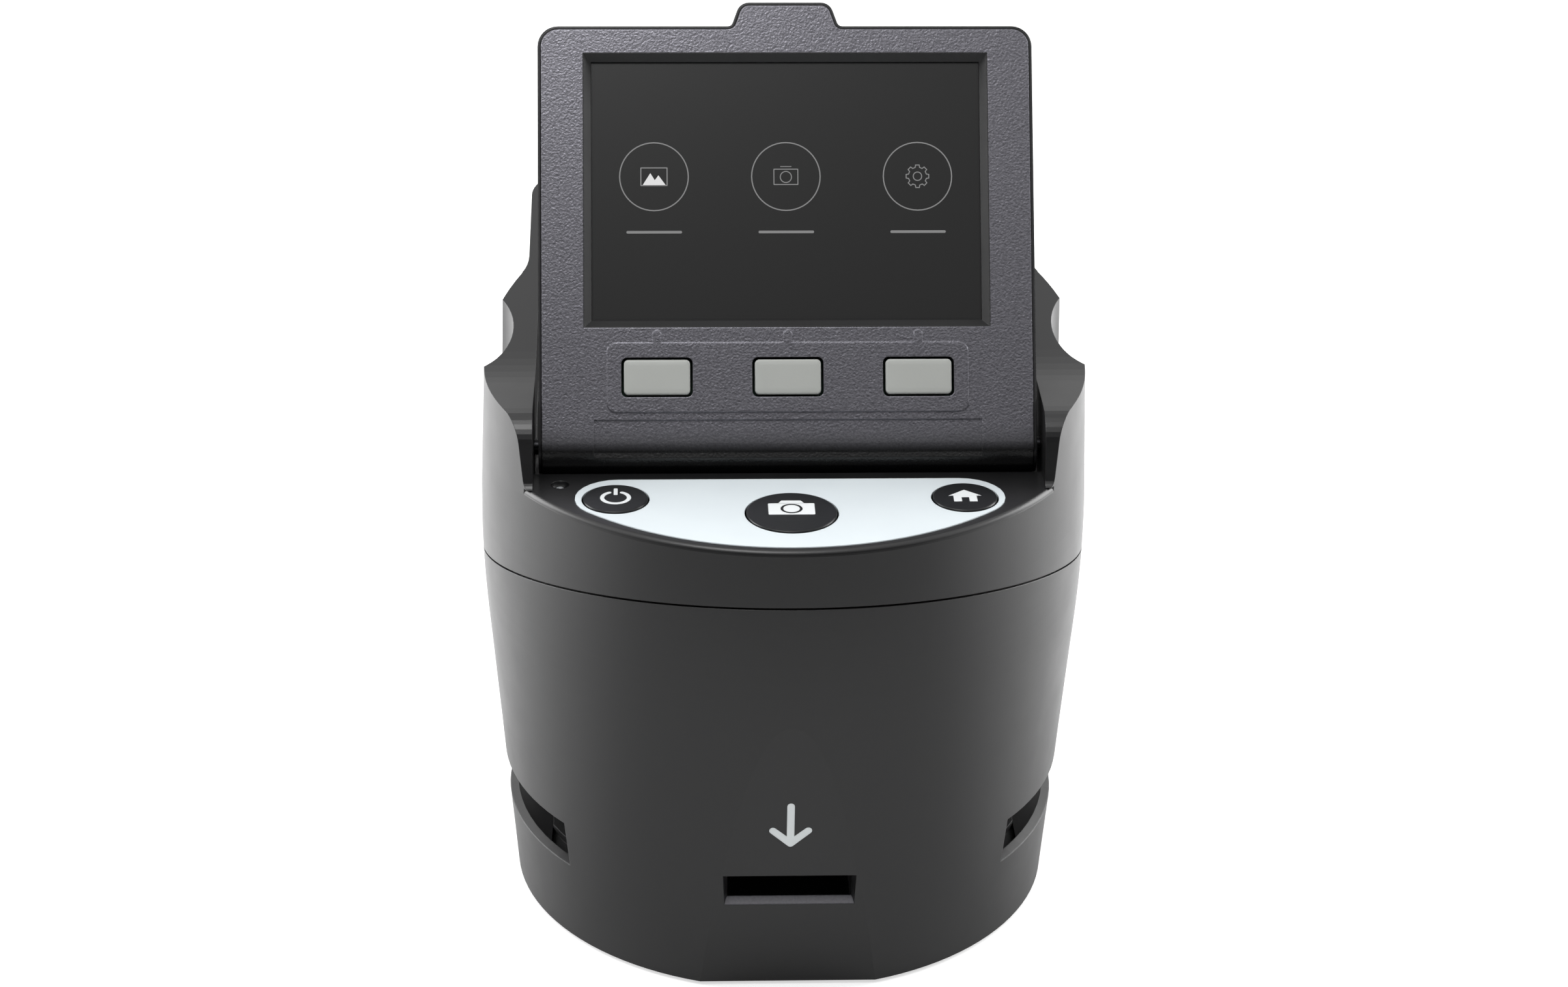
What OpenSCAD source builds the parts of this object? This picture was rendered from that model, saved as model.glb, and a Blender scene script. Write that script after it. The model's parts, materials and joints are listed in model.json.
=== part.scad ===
// Desktop film and slide scanner: a round tapered housing with a tilting screen on top.
// Millimetres, +Z up, front towards -Y. The origin is the centre of the footprint on the table.

/* [Body] */
// Radius of the round body at the table
base_r = 53.8; // [52:0.1:56]
// Growth of the radius per millimetre of height below the parting line
body_taper = 0.0815; // [0.06:0.0005:0.09]
// Loss of the radius per millimetre of height above the parting line
crown_taper = 0.042; // [0.02:0.001:0.05]
// Wall thickness of the two housings
wall = 2.2; // [1.8:0.1:2.8]
// Corner radius of the square rear part
rear_corner_r = 7; // [4:0.5:10]
// Radius of the hollow blend between the round body and the square rear part
blend_r = 11; // [8:0.5:14]

/* [Parting line] */
// Height of the parting line at the body's axis
seam_z = 71.5; // [68:0.5:74]
// Slope of the parting line, high at the front
seam_tilt = 13.7; // [10:0.1:16]
// Width of the shadow gap along the parting line
seam_gap = 0.4; // [0.2:0.05:0.8]

/* [Crown] */
// Height of the control deck
deck_z = 97.3; // [96.5:0.1:98]
// Fillet along the front edge of the deck
deck_edge_r = 1; // [0.6:0.1:1.2]
// Height of the crown's sloping top at the body's axis
crown_z = 111; // [110:0.1:113]
// Slope of the crown's top, rising to the back
crown_slope = 15; // [13:0.5:17]
// Where the crown's side walls rise from the deck
cheek_y = -31.3; // [-32:0.1:-30]
// Height of the level part of the side walls' top
cheek_z = 109.9; // [109.4:0.1:110.4]
// Round at the front of the side walls' top
cheek_r = 6; // [4:0.5:7]
// Backward lean of the side walls' front
cheek_lean = 15; // [8:1:18]
// Depth of the finger scoops into the round side
scoop_depth = 5.4; // [4:0.1:6]
// Radius of the finger scoops
scoop_r = 17; // [14:0.5:19]
// Where the finger scoops sit, from the body's axis
scoop_y = 9; // [7:0.5:10]
// Height of the centre of the scoops' round ends
scoop_z = 101; // [99:0.5:103]

/* [Film path] */
// Underside of the film passage
path_z = 17.8; // [16:0.1:20]
// Height of the film passage
path_h = 9.6; // [8:0.1:10.5]
// Front end of the film passage
path_front_y = -35.5; // [-36.5:0.5:-35]
// Rear end of the film passage
path_rear_y = 36; // [34:0.5:37]
// Film gate length along the path
gate_l = 37; // [30:0.5:40]
// Film gate width across the path
gate_w = 26; // [20:0.5:30]

/* [Front window] */
// Width of the window in the front
window_w = 23.8; // [20:0.1:26]
// Height of the window in the front
window_h = 6.9; // [6:0.1:7]
// Underside of the window in the front
window_z = 19.6; // [18.6:0.1:20.4]
// How much the window's side walls close in through the wall
window_draft = 0.7; // [0.2:0.1:1.2]
// Where the front flat meets the table, from the body's axis
flat_y = 51; // [50.5:0.1:52]
// Height at which the front flat runs out
flat_z = 61; // [56:0.5:66]

/* [Screen unit] */
// Width of the screen's frame beside the display opening
frame_side = 8.6; // [8.2:0.1:9]
// Width of the screen's frame above the display opening
frame_top = 5.2; // [5:0.05:5.6]
// Radius of the hinge barrel, which the front face runs onto
barrel_r = 5.7; // [5.3:0.1:6]
// Thickness of the screen unit
screen_t = 8.6; // [8.2:0.1:9]
// Angle of the screen above its closed position
screen_open = 45; // [30:1:60]
// Place of the hinge axis, from the body's axis
hinge_y = -18.4; // [-19:0.1:-18]
// Corner radius of the screen unit
screen_corner_r = 3.9; // [3:0.1:5]
// Width of the lift tab
tab_w = 18.6; // [16:0.1:22]
// Height of the lift tab
tab_h = 4.6; // [4:0.1:5]
// Width of the display opening
opening_w = 77.4; // [76:0.1:78.5]
// Height of the display opening
opening_h = 52.9; // [52:0.1:53.5]
// Distance from the hinge axis to the display opening
opening_v = 22; // [21.6:0.1:22.4]

/* [Controls] */
// Diameter of the two small buttons
small_d = 12.1; // [11:0.1:12.6]
// Diameter of the capture button
capture_d = 16.9; // [15:0.1:18]
// Distance of the small buttons from the middle
small_x = 32.6; // [31:0.1:33]
// Place of the small buttons in front of the axis
small_y = -36.3; // [-36.6:0.1:-35.5]
// Place of the capture button in front of the axis
capture_y = -42.6; // [-43.5:0.1:-42]
// Travel of the three round buttons
button_travel = 0.8; // [0.4:0.1:1]
// Radius of the overlay's front edge
overlay_r = 53.5; // [52:0.1:55]
// Distance from the body's axis to the overlay's front edge
overlay_front = 57.05; // [56:0.05:57.2]
// Half width of the overlay
overlay_x = 40.2; // [39.8:0.1:40.6]
// Rear edge of the overlay
overlay_y = -27.6; // [-28:0.1:-27]
// Thickness of the overlay
overlay_t = 0.5; // [0.4:0.05:0.8]
// Width of the three screen keys
key_w = 12.9; // [11:0.1:14]
// Height of the three screen keys
key_h = 6.95; // [6:0.05:8]
// Spacing of the three screen keys
key_pitch = 24.8; // [22:0.1:26]
// Distance from the hinge axis to the row of keys
key_v = 12.5; // [12:0.1:12.8]
// Travel of the screen keys
key_travel = 0.6; // [0.3:0.1:0.7]

/* [Optics] */
// Height of the lens tower's top
tower_z = 60; // [56:0.5:62]
// Outer radius of the lens barrel
lens_r = 7; // [6:0.1:8]
// Length of the lens barrel
lens_l = 14; // [12:0.5:16]

/* [Clearances] */
// Clearance around every moving button and key
button_gap = 0.3; // [0.2:0.05:0.5]
// Clearance of the screen unit in its recess
screen_gap = 0.9; // [0.6:0.05:1.1]
// Radial running clearance of the hinge pins
pin_gap = 0.05; // [0.02:0.01:0.1]
// Clearance between pieces that are screwed together
fit_gap = 0.1; // [0.05:0.05:0.2]

/* [Hidden] */
$fn = 64;
eps = 0.01;
far = 90;
rim_z = 0.8;                      // underside of the housing rim, the feet reach the table
taper_end_z = 60;                 // the straight taper below ends here
crown_start_z = 88;               // the straight taper above starts here
round_r = (crown_start_z - taper_end_z) / (body_taper + crown_taper);
top_z = 131;                      // above every cut of the crown
cone_r = base_r + body_taper * taper_end_z;
bulge_r = cone_r + round_r * body_taper * body_taper / 2;
bulge_z = taper_end_z + round_r * body_taper;
crown_base_r = bulge_r - pow(crown_start_z - bulge_z, 2) / (2 * round_r);
slope_k = tan(crown_slope);
screen_w = opening_w + 2 * frame_side;
screen_l = opening_v + opening_h + frame_top;
rear_y = hinge_y + screen_l * cos(crown_slope) + 0.4;
hinge_z = crown_z + hinge_y * slope_k - barrel_r / cos(crown_slope);
recess_w = screen_w / 2 + screen_gap;
rear_half_w = recess_w + wall;
trough_r = barrel_r + 1.2;
top_blend_r = 45;                 // hollow blend from the level top to the sloping top
foot_r1 = 2;                      // fillet where the side walls meet the deck
face_n = barrel_r;                // front face of the screen unit above its hinge axis
back_n = barrel_r - screen_t;     // its back face
split_n = face_n - 3;             // where the bezel meets the back cover
bezel_inset = 0.7;                // the bezel lies this far inside the back cover's rim
rim_drop = 0.5;                   // the rim ends this far below the face
opening_bevel = 1.5;
relief = 0.4;                     // height of the field round the keys, depth of the strip below it
field_x = 34.3;
field_v0 = key_v - 6.65;
field_v1 = key_v + 6.6;
strip_x = 36.8;
strip_v = 4.4;
strip_n = 5;
pin_r = 1.5;
pin_l = 11;
sleeve_r = 2.6;
screw_r = 1.3;
head_r = 2.5;
board_t = 1.6;
foot_r = 5;
plate_z = 1.6;
plate_t = 2;
floor_z = plate_z + plate_t;
post_r = 3.6;
board_w = 33.8;                   // half width of the main board, inside the rear columns
flat_lean = atan((body_r(flat_z) - flat_y) / flat_z);
path_top_z = path_z + path_h;
sill_l = 3.7;                     // depth of the window's sill before its floor steps down
sill_step = 1.4;
track_t = 2.2;
ledge_z = path_z - 0.8;           // ledge between the sill and the raised film table
ledge_w = 2.6;
table_z = path_z + 0.8;
tower_r = 21;
tower_top_r = 11;
main_z = tower_z + 13;
button_board_z = deck_z - 9.5;
flange_t = 1.2;
switch_w = 6;
switch_h = 3.2;
overlay_sink = 0.35;              // how deep the overlay lies in the deck
deck_r = body_r(deck_z);
control_k = deck_r / 58.8;        // the controls spread with the deck
capture_at = control_k * capture_y;
usb_x = -24;
video_x = 24;
card_x = 0;
led_x = -43.1 * control_k;
led_y = -29.4 * control_k;
small_xy = control_k * [[-small_x, small_y], [small_x, small_y]];
foot_xy = [[-30, -30], [30, -30], [-36, 28], [36, 28]];
plate_screw_xy = [[-15.5, -41], [15.5, -41], [-28, 40.6], [28, 40.6]];
column_xy = [[-26, -42.4], [26, -42.4], [-38.5, 41.4], [38.5, 41.4]];
light_screw_xy = [[-27, -12], [27, -12], [-27, 12], [27, 12]];
board_post_xy = [[-30, 4], [30, 4], [-30, 33], [30, 33]];
button_post_xy = [[-17, -30], [17, -30], [-15, capture_at - 3.9], [15, capture_at - 3.9]];
sensor_screw_xy = [[-7.5, 7.5], [7.5, -7.5]];
low_screw_x = screen_w / 2 - 6.3;
top_screw_x = screen_w / 2 - 3.9;
top_screw_v = opening_v + opening_h - 1;
screen_screw_xv = [[-low_screw_x, 12], [low_screw_x, 12], [-top_screw_x, top_screw_v],
    [top_screw_x, top_screw_v]];
bite = 0.02;                      // radial room of a screw, pin or sleeve in its bore

black = [0.16, 0.16, 0.17];
dark = [0.1, 0.1, 0.11];

function arc(cx, cy, r, a0, a1, n = 8) =
    [for (i = [0:n]) let (a = a0 + (a1 - a0) * i / n) [cx + r * cos(a), cy + r * sin(a)]];
function round_rect(w, h, r, n = 6) = concat(
    arc(w / 2 - r, h / 2 - r, r, 0, 90, n), arc(r - w / 2, h / 2 - r, r, 90, 180, n),
    arc(r - w / 2, r - h / 2, r, 180, 270, n), arc(w / 2 - r, r - h / 2, r, 270, 360, n));
// radius of the round body at a height
function body_r(z) = z < taper_end_z ? base_r + body_taper * z
    : z < crown_start_z ? bulge_r - pow(z - bulge_z, 2) / (2 * round_r)
    : crown_base_r - crown_taper * (z - crown_start_z);

// height of the parting plane
function seam_at(y) = seam_z - y * tan(seam_tilt);

// ---- the outer form that both housings share ----

// round body, tapered below and above a soft bulge; inset moves it inwards
module round_form(inset) {
    rotate_extrude($fn = 128) polygon(concat(
        [[0, 0], [base_r - inset, 0]],
        [for (i = [0:8]) let (z = taper_end_z + (crown_start_z - taper_end_z) * i / 8)
            [body_r(z) - inset, z]],
        [[body_r(top_z) - inset, top_z], [0, top_z]]));
}

// drafted rear part below, with round corners that widen with the draft
module rear_low(inset) {
    grow = body_taper * taper_end_z;
    cx = rear_half_w - rear_corner_r;
    cy = rear_y - rear_corner_r;
    r1 = rear_corner_r - inset;
    r0 = max(r1 - grow, 0.4);
    for (s = [-1, 1]) translate([s * cx, cy, 0]) cylinder(h = taper_end_z, r1 = r0, r2 = r1);
    rotate([90, 0, 180]) linear_extrude(cy) polygon([[-cx - r0, 0], [cx + r0, 0],
        [cx + r1, taper_end_z], [-cx - r1, taper_end_z]]);
    translate([-cx, 0, 0]) rotate([90, 0, 90]) linear_extrude(2 * cx) polygon([[cy / 2, 0],
        [cy + r0, 0], [cy + r1, taper_end_z], [cy / 2, taper_end_z]]);
}

// upright rear part above
module rear_high(inset) {
    cx = rear_half_w - rear_corner_r;
    cy = rear_y - rear_corner_r;
    r = rear_corner_r - inset;
    h = top_z - taper_end_z;
    for (s = [-1, 1]) translate([s * cx, cy, taper_end_z]) cylinder(h = h, r = r);
    translate([-cx - r, 0, taper_end_z]) cube([2 * (cx + r), cy, h]);
    translate([-cx, cy / 2, taper_end_z]) cube([2 * cx, cy / 2 + r, h]);
}

// hollow blend from the round body into the square rear part, on the right; it stands a
// hair proud of both, so that no two faces meet at a tangent
module blend_fill(inset, z0, z1, round_at, r0, r1) {
    lift = inset - 0.04;
    cx = rear_half_w + blend_r;
    cy = sqrt(pow(round_at + blend_r, 2) - cx * cx);
    difference() {
        translate([0, 0, z0]) linear_extrude(z1 - z0) polygon([[cx, cy], [30, cy], [cx / 2, cy / 2]]);
        translate([cx, cy, z0 - eps]) cylinder(h = z1 - z0 + 2 * eps, r1 = r0 + lift, r2 = r1 + lift);
    }
}

module body_form(inset = 0) {
    round_form(inset);
    rear_low(inset);
    rear_high(inset);
    for (m = [0, 1]) mirror([m, 0, 0]) {
        blend_fill(inset, 0, taper_end_z, cone_r, blend_r + body_taper * taper_end_z, blend_r);
        blend_fill(inset, taper_end_z, top_z, body_r(crown_z + 6), blend_r, blend_r);
    }
}

// space above the parting plane, moved up by d
module above_seam(d) {
    translate([0, 0, seam_z]) rotate([-seam_tilt, 0, 0])
        translate([-far, -far, d]) cube([2 * far, 2 * far, far]);
}

module below_seam(d) {
    translate([0, 0, seam_z]) rotate([-seam_tilt, 0, 0])
        translate([-far, -far, d - 2 * far]) cube([2 * far, 2 * far, 2 * far]);
}

// places children on the screen unit: X along the hinge, Y up the face, Z out of the face
module on_screen(angle = crown_slope + screen_open) {
    translate([0, hinge_y, hinge_z]) rotate([angle, 0, 0]) children();
}

module at(points, z = 0) {
    for (p = points) translate([p[0], p[1], z]) children();
}

module along_x(x0, x1, r, rr = undef) {
    translate([x0, 0, 0]) rotate([0, 90, 0]) cylinder(h = x1 - x0, r1 = r, r2 = rr == undef ? r : rr);
}

// pan-head screw standing on its head, tip up
module screw_up(l, r = screw_r, hr = head_r) {
    difference() {
        cylinder(h = 1.8, r = hr);
        for (a = [0, 90]) rotate(a) translate([-hr * 0.6, -0.3, -eps]) cube([hr * 1.2, 0.6, 0.9]);
    }
    translate([0, 0, 1.8 - eps]) cylinder(h = l, r = r);
}

// ---- lower housing: tapered shell with the film passage, the window and screw columns ----

module slot_cut() {
    translate([-far, path_front_y, path_z]) cube([2 * far, path_rear_y - path_front_y, path_h]);
}

// window in the leaning front flat, with side walls that close in and a sill with a step
module window_cut() {
    w = window_w / 2;
    y = -flat_y - (window_z + window_h / 2) * tan(flat_lean);
    translate([-w, y + sill_l, window_z - sill_step])
        cube([window_w, path_front_y + 1 - y - sill_l, sill_step + 1]);
    translate([0, 0, window_z]) linear_extrude(window_h) polygon([
        [-w, y + wall], [-w, path_front_y + 1], [w, path_front_y + 1], [w, y + wall],
        [w + 2 * window_draft, y - wall], [-w - 2 * window_draft, y - wall]]);
}

// space in front of the leaning flat; inset moves it inwards
module front_flat(inset = 0) {
    translate([0, inset - flat_y, 0]) rotate([flat_lean, 0, 0])
        translate([-far, -far, -far]) cube([2 * far, far, 2 * far]);
}

// outer form with its front flat, between two heights
module flat_form(inset, z0, z1) {
    difference() {
        intersection() {
            body_form(inset);
            translate([-far, -far, z0]) cube([2 * far, 2 * far, z1 - z0]);
        }
        front_flat(inset);
    }
}

// ribs that tie each column to the wall beside it
module column_ribs(z0) {
    for (p = column_xy) translate([p[0], p[1], z0])
        rotate(p[1] < 0 ? atan2(p[1], p[0]) : p[0] > 0 ? 0 : 180) translate([0, -0.8, 0]) cube([30, 1.6, far]);
}

module lower_housing() {
    color(black) difference() {
        union() {
            difference() {
                intersection() {
                    flat_form(0, rim_z, top_z);
                    below_seam(-seam_gap / 2);
                }
                difference() {
                    flat_form(wall, -1, top_z);
                    passage_walls();
                    at(plate_screw_xy, floor_z) cylinder(h = path_top_z - floor_z, r = post_r);
                    // columns that take the long screws up to the upper housing
                    at(column_xy, floor_z) cylinder(h = far, r = post_r + 0.6);
                    column_ribs(floor_z + 6);
                    // tunnel from the window to the film passage
                    translate([-window_w / 2 - 2, -far, window_z - sill_step - 2])
                        cube([window_w + 4, far + path_front_y, path_top_z - window_z + sill_step + 2]);
                }
            }
            // tongue that locates the upper housing
            difference() {
                intersection() {
                    body_form(wall / 2 + fit_gap / 2);
                    below_seam(1.8);
                    above_seam(-4);
                }
                body_form(wall);
            }
        }
        slot_cut();
        window_cut();
        // rebate for the base plate
        flat_form(wall - 0.8, -1, floor_z);
        at(plate_screw_xy, floor_z - 1) cylinder(h = 11, r = screw_r + bite);
        at(plate_screw_xy, path_top_z - 10) cylinder(h = 11, r = screw_r + bite);
        for (p = column_xy) translate([p[0], p[1], floor_z - eps]) {
            cylinder(h = seam_at(p[1]) - 8 - floor_z + eps, r = head_r + 0.3);
            cylinder(h = far, r = screw_r + 0.2);
        }
    }
}

// end walls of the film passage and the stepped shelf round it that carries the film bed
module passage_walls() {
    bed_z = path_z - track_t;
    for (y = [path_front_y - wall, path_rear_y]) translate([-far, y, floor_z])
        cube([2 * far, wall, path_top_z - floor_z]);
    for (y = [path_front_y - 1, path_rear_y - 2]) translate([-far, y, bed_z - 2.4])
        cube([2 * far, 3, 2.4]);
    for (m = [0, 1]) mirror([m, 0, 0]) {
        translate([42, path_front_y - 1, bed_z - 2.4]) cube([far, path_rear_y - path_front_y + 2, 2.4]);
        translate([46.1, path_front_y - 1, bed_z - 1])
            cube([far, path_rear_y - path_front_y + 2, track_t + 1]);
    }
}

module base_plate() {
    color(dark) difference() {
        flat_form(wall - 0.8 + fit_gap, plate_z, plate_z + plate_t);
        at(plate_screw_xy, 0) cylinder(h = 10, r = screw_r + 0.2);
        at(plate_screw_xy, plate_z - 1) cylinder(h = 2.4, r = head_r + 0.3);
        at(foot_xy, plate_z - 1) cylinder(h = 1.8, r = foot_r + 0.1);
        // vent slots under the lamp
        for (i = [-3:3]) translate([i * 5 - 1, -8, plate_z - 1]) cube([2, 16, plate_t + 2]);
    }
}

module rubber_feet() {
    color([0.08, 0.08, 0.08]) at(foot_xy) cylinder(h = plate_z + 0.8, r = foot_r);
}

module base_screws() {
    color([0.6, 0.6, 0.62]) at(plate_screw_xy, plate_z - 0.4) screw_up(9);
}

module housing_screws() {
    color([0.6, 0.6, 0.62]) for (p = column_xy)
        translate([p[0], p[1], seam_at(p[1]) - 8 - 1.8]) screw_up(15);
}

// ---- film passage: bed below, gate above, light box under the bed ----

module film_bed() {
    color(dark) difference() {
        union() {
            bed_plate(wall + 0.4, path_z - track_t, ledge_z);
            // raised table, set back so that a ledge runs round inside each opening
            bed_plate(wall + ledge_w, path_z - track_t, table_z);
            // two low rails that guide the film holder
            for (y = [path_front_y + fit_gap, path_rear_y - fit_gap - 1.6])
                translate([-36, y, path_z - 1]) cube([72, 1.6, table_z - path_z + 1.6]);
            // bosses that take the light box screws
            at(light_screw_xy, path_z - track_t - 3) cylinder(h = 3.5, r = 3);
        }
        translate([-gate_l / 2, -gate_w / 2, path_z - 6]) cube([gate_l, gate_w, 10]);
        translate([-gate_l / 2 - 2, -gate_w / 2 - 2, path_z - 6])
            cube([gate_l + 4, gate_w + 4, 4.8]);
        at(light_screw_xy, path_z - track_t - 4) cylinder(h = 5, r = screw_r + bite);
    }
}

module bed_plate(inset, z0, z1) {
    intersection() {
        body_form(inset);
        translate([-46, path_front_y + fit_gap, z0])
            cube([92, path_rear_y - path_front_y - 2 * fit_gap, z1 - z0]);
    }
}

module diffuser() {
    color([0.95, 0.96, 0.97]) translate([-gate_l / 2 - 2 + fit_gap, -gate_w / 2 - 2 + fit_gap, path_z - 2.7])
        cube([gate_l + 4 - 2 * fit_gap, gate_w + 4 - 2 * fit_gap, 1.5]);
}

module light_box() {
    w = gate_l + 8;
    d = gate_w + 8;
    z0 = floor_z + 2.4;
    z1 = path_z - track_t - 3;
    color([0.9, 0.9, 0.9]) difference() {
        union() {
            translate([-w / 2, -d / 2, z0]) cube([w, d, path_z - 2.7 - z0]);
            at(light_screw_xy, z1 - 2) cylinder(h = 2, r = 3);
            for (y = [-12, 12]) translate([-27, y - 3, z1 - 2]) cube([54, 6, 2]);
        }
        translate([-gate_l / 2 - 1, -gate_w / 2 - 1, z0 - 1]) cube([gate_l + 2, gate_w + 2, 20]);
        at(light_screw_xy, 0) cylinder(h = 20, r = screw_r + 0.2);
        at(light_screw_xy, 0) cylinder(h = z1 - 2, r = head_r + 0.3);
    }
}

module backlight_board() {
    w = gate_l + 8;
    d = gate_w + 8;
    color([0.1, 0.35, 0.2]) translate([-w / 2, -d / 2, floor_z + 2.4 - board_t])
        cube([w, d, board_t]);
}

module backlight_leds() {
    color([0.95, 0.9, 0.6]) for (i = [-1:1], j = [-1, 1])
        translate([i * 12 - 1.75, j * 7 - 1.4, floor_z + 2.4]) cube([3.5, 2.8, 0.8]);
}

module light_box_screws() {
    color([0.6, 0.6, 0.62]) at(light_screw_xy, path_z - track_t - 5 - 1.8) screw_up(4.5);
}

// gate plate over the film with the lens tower moulded on it
module film_gate() {
    color(dark) difference() {
        union() {
            intersection() {
                body_form(wall + 0.6);
                translate([-46, path_front_y - 1, path_top_z])
                    cube([92, path_rear_y - path_front_y + 2, track_t]);
            }
            // ears for the screws into the housing's posts
            for (p = plate_screw_xy) translate([p[0], p[1], path_top_z]) {
                cylinder(h = track_t, r = post_r);
                translate([-post_r, p[1] > 0 ? -6 : 0, 0]) cube([2 * post_r, 6, track_t]);
            }
            translate([0, 0, path_top_z + track_t]) cylinder(h = 6, r1 = tower_r + 5, r2 = tower_r + 2.2);
            translate([0, 0, path_top_z + track_t + 6 - eps])
                cylinder(h = tower_z - lens_l - 6 - path_top_z - track_t, r1 = tower_r + 2.2,
                    r2 = tower_top_r + 2);
            translate([0, 0, tower_z - lens_l - eps]) cylinder(h = lens_l, r = tower_top_r + 2);
            for (a = [0:60:300]) rotate(a) translate([tower_r - 4, -0.8, path_top_z + 1])
                cube([9, 1.6, 12]);
            // columns for the main board
            at(board_post_xy, path_top_z) cylinder(h = main_z - path_top_z, r = 3);
        }
        translate([-gate_l / 2, -gate_w / 2, 0]) cube([gate_l, gate_w, path_top_z + track_t + 2]);
        translate([0, 0, path_top_z + 1.2]) cylinder(h = 6.8, r1 = tower_r + 0.5, r2 = tower_r);
        translate([0, 0, path_top_z + 8 - eps])
            cylinder(h = tower_z - lens_l - 8 - path_top_z, r1 = tower_r, r2 = lens_r + 0.5);
        translate([0, 0, tower_z - lens_l - 2]) cylinder(h = lens_l + 3, r = lens_r + 0.05);
        at(sensor_screw_xy, tower_z - 8) cylinder(h = 9, r = 0.95 + bite);
        at(board_post_xy, main_z - 9) cylinder(h = 10, r = screw_r + bite);
        at(plate_screw_xy, path_top_z - 1) cylinder(h = 8, r = screw_r + 0.2);
    }
}

module tower_screws() {
    color([0.6, 0.6, 0.62]) at(plate_screw_xy, path_top_z + track_t + 1.8)
        mirror([0, 0, 1]) screw_up(9);
}

module lens_barrel() {
    color([0.12, 0.12, 0.13]) translate([0, 0, tower_z - lens_l]) difference() {
        union() {
            cylinder(h = lens_l, r = lens_r);
            for (i = [1:5]) translate([0, 0, i * 2]) cylinder(h = 0.8, r = lens_r + 0.03);
        }
        translate([0, 0, -1]) cylinder(h = 3.5, r1 = lens_r - 0.6, r2 = 4);
        translate([0, 0, 2]) cylinder(h = lens_l - 4, r = 4);
        translate([0, 0, lens_l - 3]) cylinder(h = 4, r = 5.2);
    }
}

module lens_glass() {
    color([0.7, 0.8, 0.85, 0.6]) translate([0, 0, tower_z - lens_l]) {
        for (z = [3, 8]) translate([0, 0, z]) rotate_extrude() polygon(concat(
            [[0, -1.4]], [for (i = [1:5]) [4 * i / 5, -1.4 + 0.9 * pow(i / 5, 2)]],
            [for (i = [5:-1:0]) [4 * i / 5, 1.4 - 0.9 * pow(i / 5, 2)]]));
        translate([0, 0, lens_l - 3]) cylinder(h = 0.8, r = 5.2 - 0.02);
    }
}

module sensor_board() {
    color([0.1, 0.35, 0.2]) translate([0, 0, tower_z + fit_gap]) difference() {
        linear_extrude(board_t) polygon(round_rect(26, 26, 2));
        at(sensor_screw_xy, -1) cylinder(h = 4, r = 1.2);
    }
}

module image_sensor() {
    color([0.15, 0.16, 0.2]) translate([-3.5, -3.5, tower_z - 1.4]) cube([7, 7, 1.5]);
}

module sensor_screws() {
    color([0.6, 0.6, 0.62]) at(sensor_screw_xy, tower_z + fit_gap + board_t + 1.8)
        mirror([0, 0, 1]) screw_up(6, 0.95, 1.9);
}

module main_board() {
    color([0.1, 0.35, 0.2]) translate([0, 0, main_z]) difference() {
        translate([-board_w, -4, 0]) cube([2 * board_w, rear_y - wall - 1.2 + 4, board_t]);
        at(board_post_xy, -1) cylinder(h = 4, r = screw_r + 0.2);
    }
}

module board_chips() {
    z = main_z + board_t;
    color([0.12, 0.12, 0.13]) {
        translate([-9, 14, z]) cube([15, 15, 1.4]);
        translate([12, 14, z]) cube([9, 12, 1.1]);
        translate([-24, 20, z]) cube([6, 5, 1.6]);
        translate([24, 30, z]) cylinder(h = 5.5, r = 3.2);
        translate([-24, 34, z]) cube([8, 8, 3]);
        // ribbon connectors for the screen and the sensor
        translate([-10, 2, z]) cube([20, 3.6, 1.8]);
    }
}

module board_screws() {
    color([0.6, 0.6, 0.62]) at(board_post_xy, main_z + board_t + 1.8)
        mirror([0, 0, 1]) screw_up(7);
}

// sockets stand on the main board with their mouths at the back
module socket(x, w, h, d, mouth_w, mouth_h) {
    translate([x - w / 2, rear_y - 0.6 - d, main_z + board_t]) difference() {
        cube([w, d, h]);
        translate([(w - mouth_w) / 2, d - 5, (h - mouth_h) / 2]) cube([mouth_w, 6, mouth_h]);
    }
}

module usb_socket() {
    color([0.75, 0.75, 0.77]) socket(usb_x, 8.2, 4.2, 9, 7, 3.1);
    color([0.1, 0.1, 0.1]) translate([usb_x - 2.6, rear_y - 0.6 - 5, main_z + board_t + 1.8])
        cube([5.2, 3.6, 0.6]);
}

module video_socket() {
    color([0.75, 0.75, 0.77]) socket(video_x, 11.6, 4, 9, 10.4, 2.6);
    color([0.1, 0.1, 0.1]) translate([video_x - 4, rear_y - 0.6 - 5, main_z + board_t + 1.7])
        cube([8, 3.6, 0.6]);
}

module card_socket() {
    color([0.75, 0.75, 0.77]) socket(card_x, 27, 3.6, 24, 24.6, 2.4);
}

// ---- upper housing: crown with the control deck, the screen recess and the side walls ----

// air in front of the side walls and above the crown, seen from the side: the deck, a fillet,
// the leaning front, its round top, a level part and a hollow blend into the sloping top
module deck_air(x0, x1) {
    lean = [sin(cheek_lean), cos(cheek_lean)];
    fillet_y = cheek_y - foot_r1 * (1 - lean[0]) / lean[1];
    round_y = cheek_y + (cheek_r + (cheek_z - cheek_r - deck_z) * lean[0]) / lean[1];
    blend_y = (cheek_z - crown_z) / slope_k - top_blend_r * tan(crown_slope / 2);
    translate([x0, 0, 0]) rotate([90, 0, 90]) linear_extrude(x1 - x0) polygon(concat(
        [[-far, deck_z]],
        arc(fillet_y, deck_z + foot_r1, foot_r1, -90, -cheek_lean, 5),
        arc(round_y, cheek_z - cheek_r, cheek_r, 180 - cheek_lean, 100, 7),
        [[round_y + 1, cheek_z]],
        arc(blend_y, cheek_z + top_blend_r, top_blend_r, -90, crown_slope - 90, 5),
        [[far, crown_z + far * slope_k], [far, far * 2], [-far, far * 2]]));
}

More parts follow.
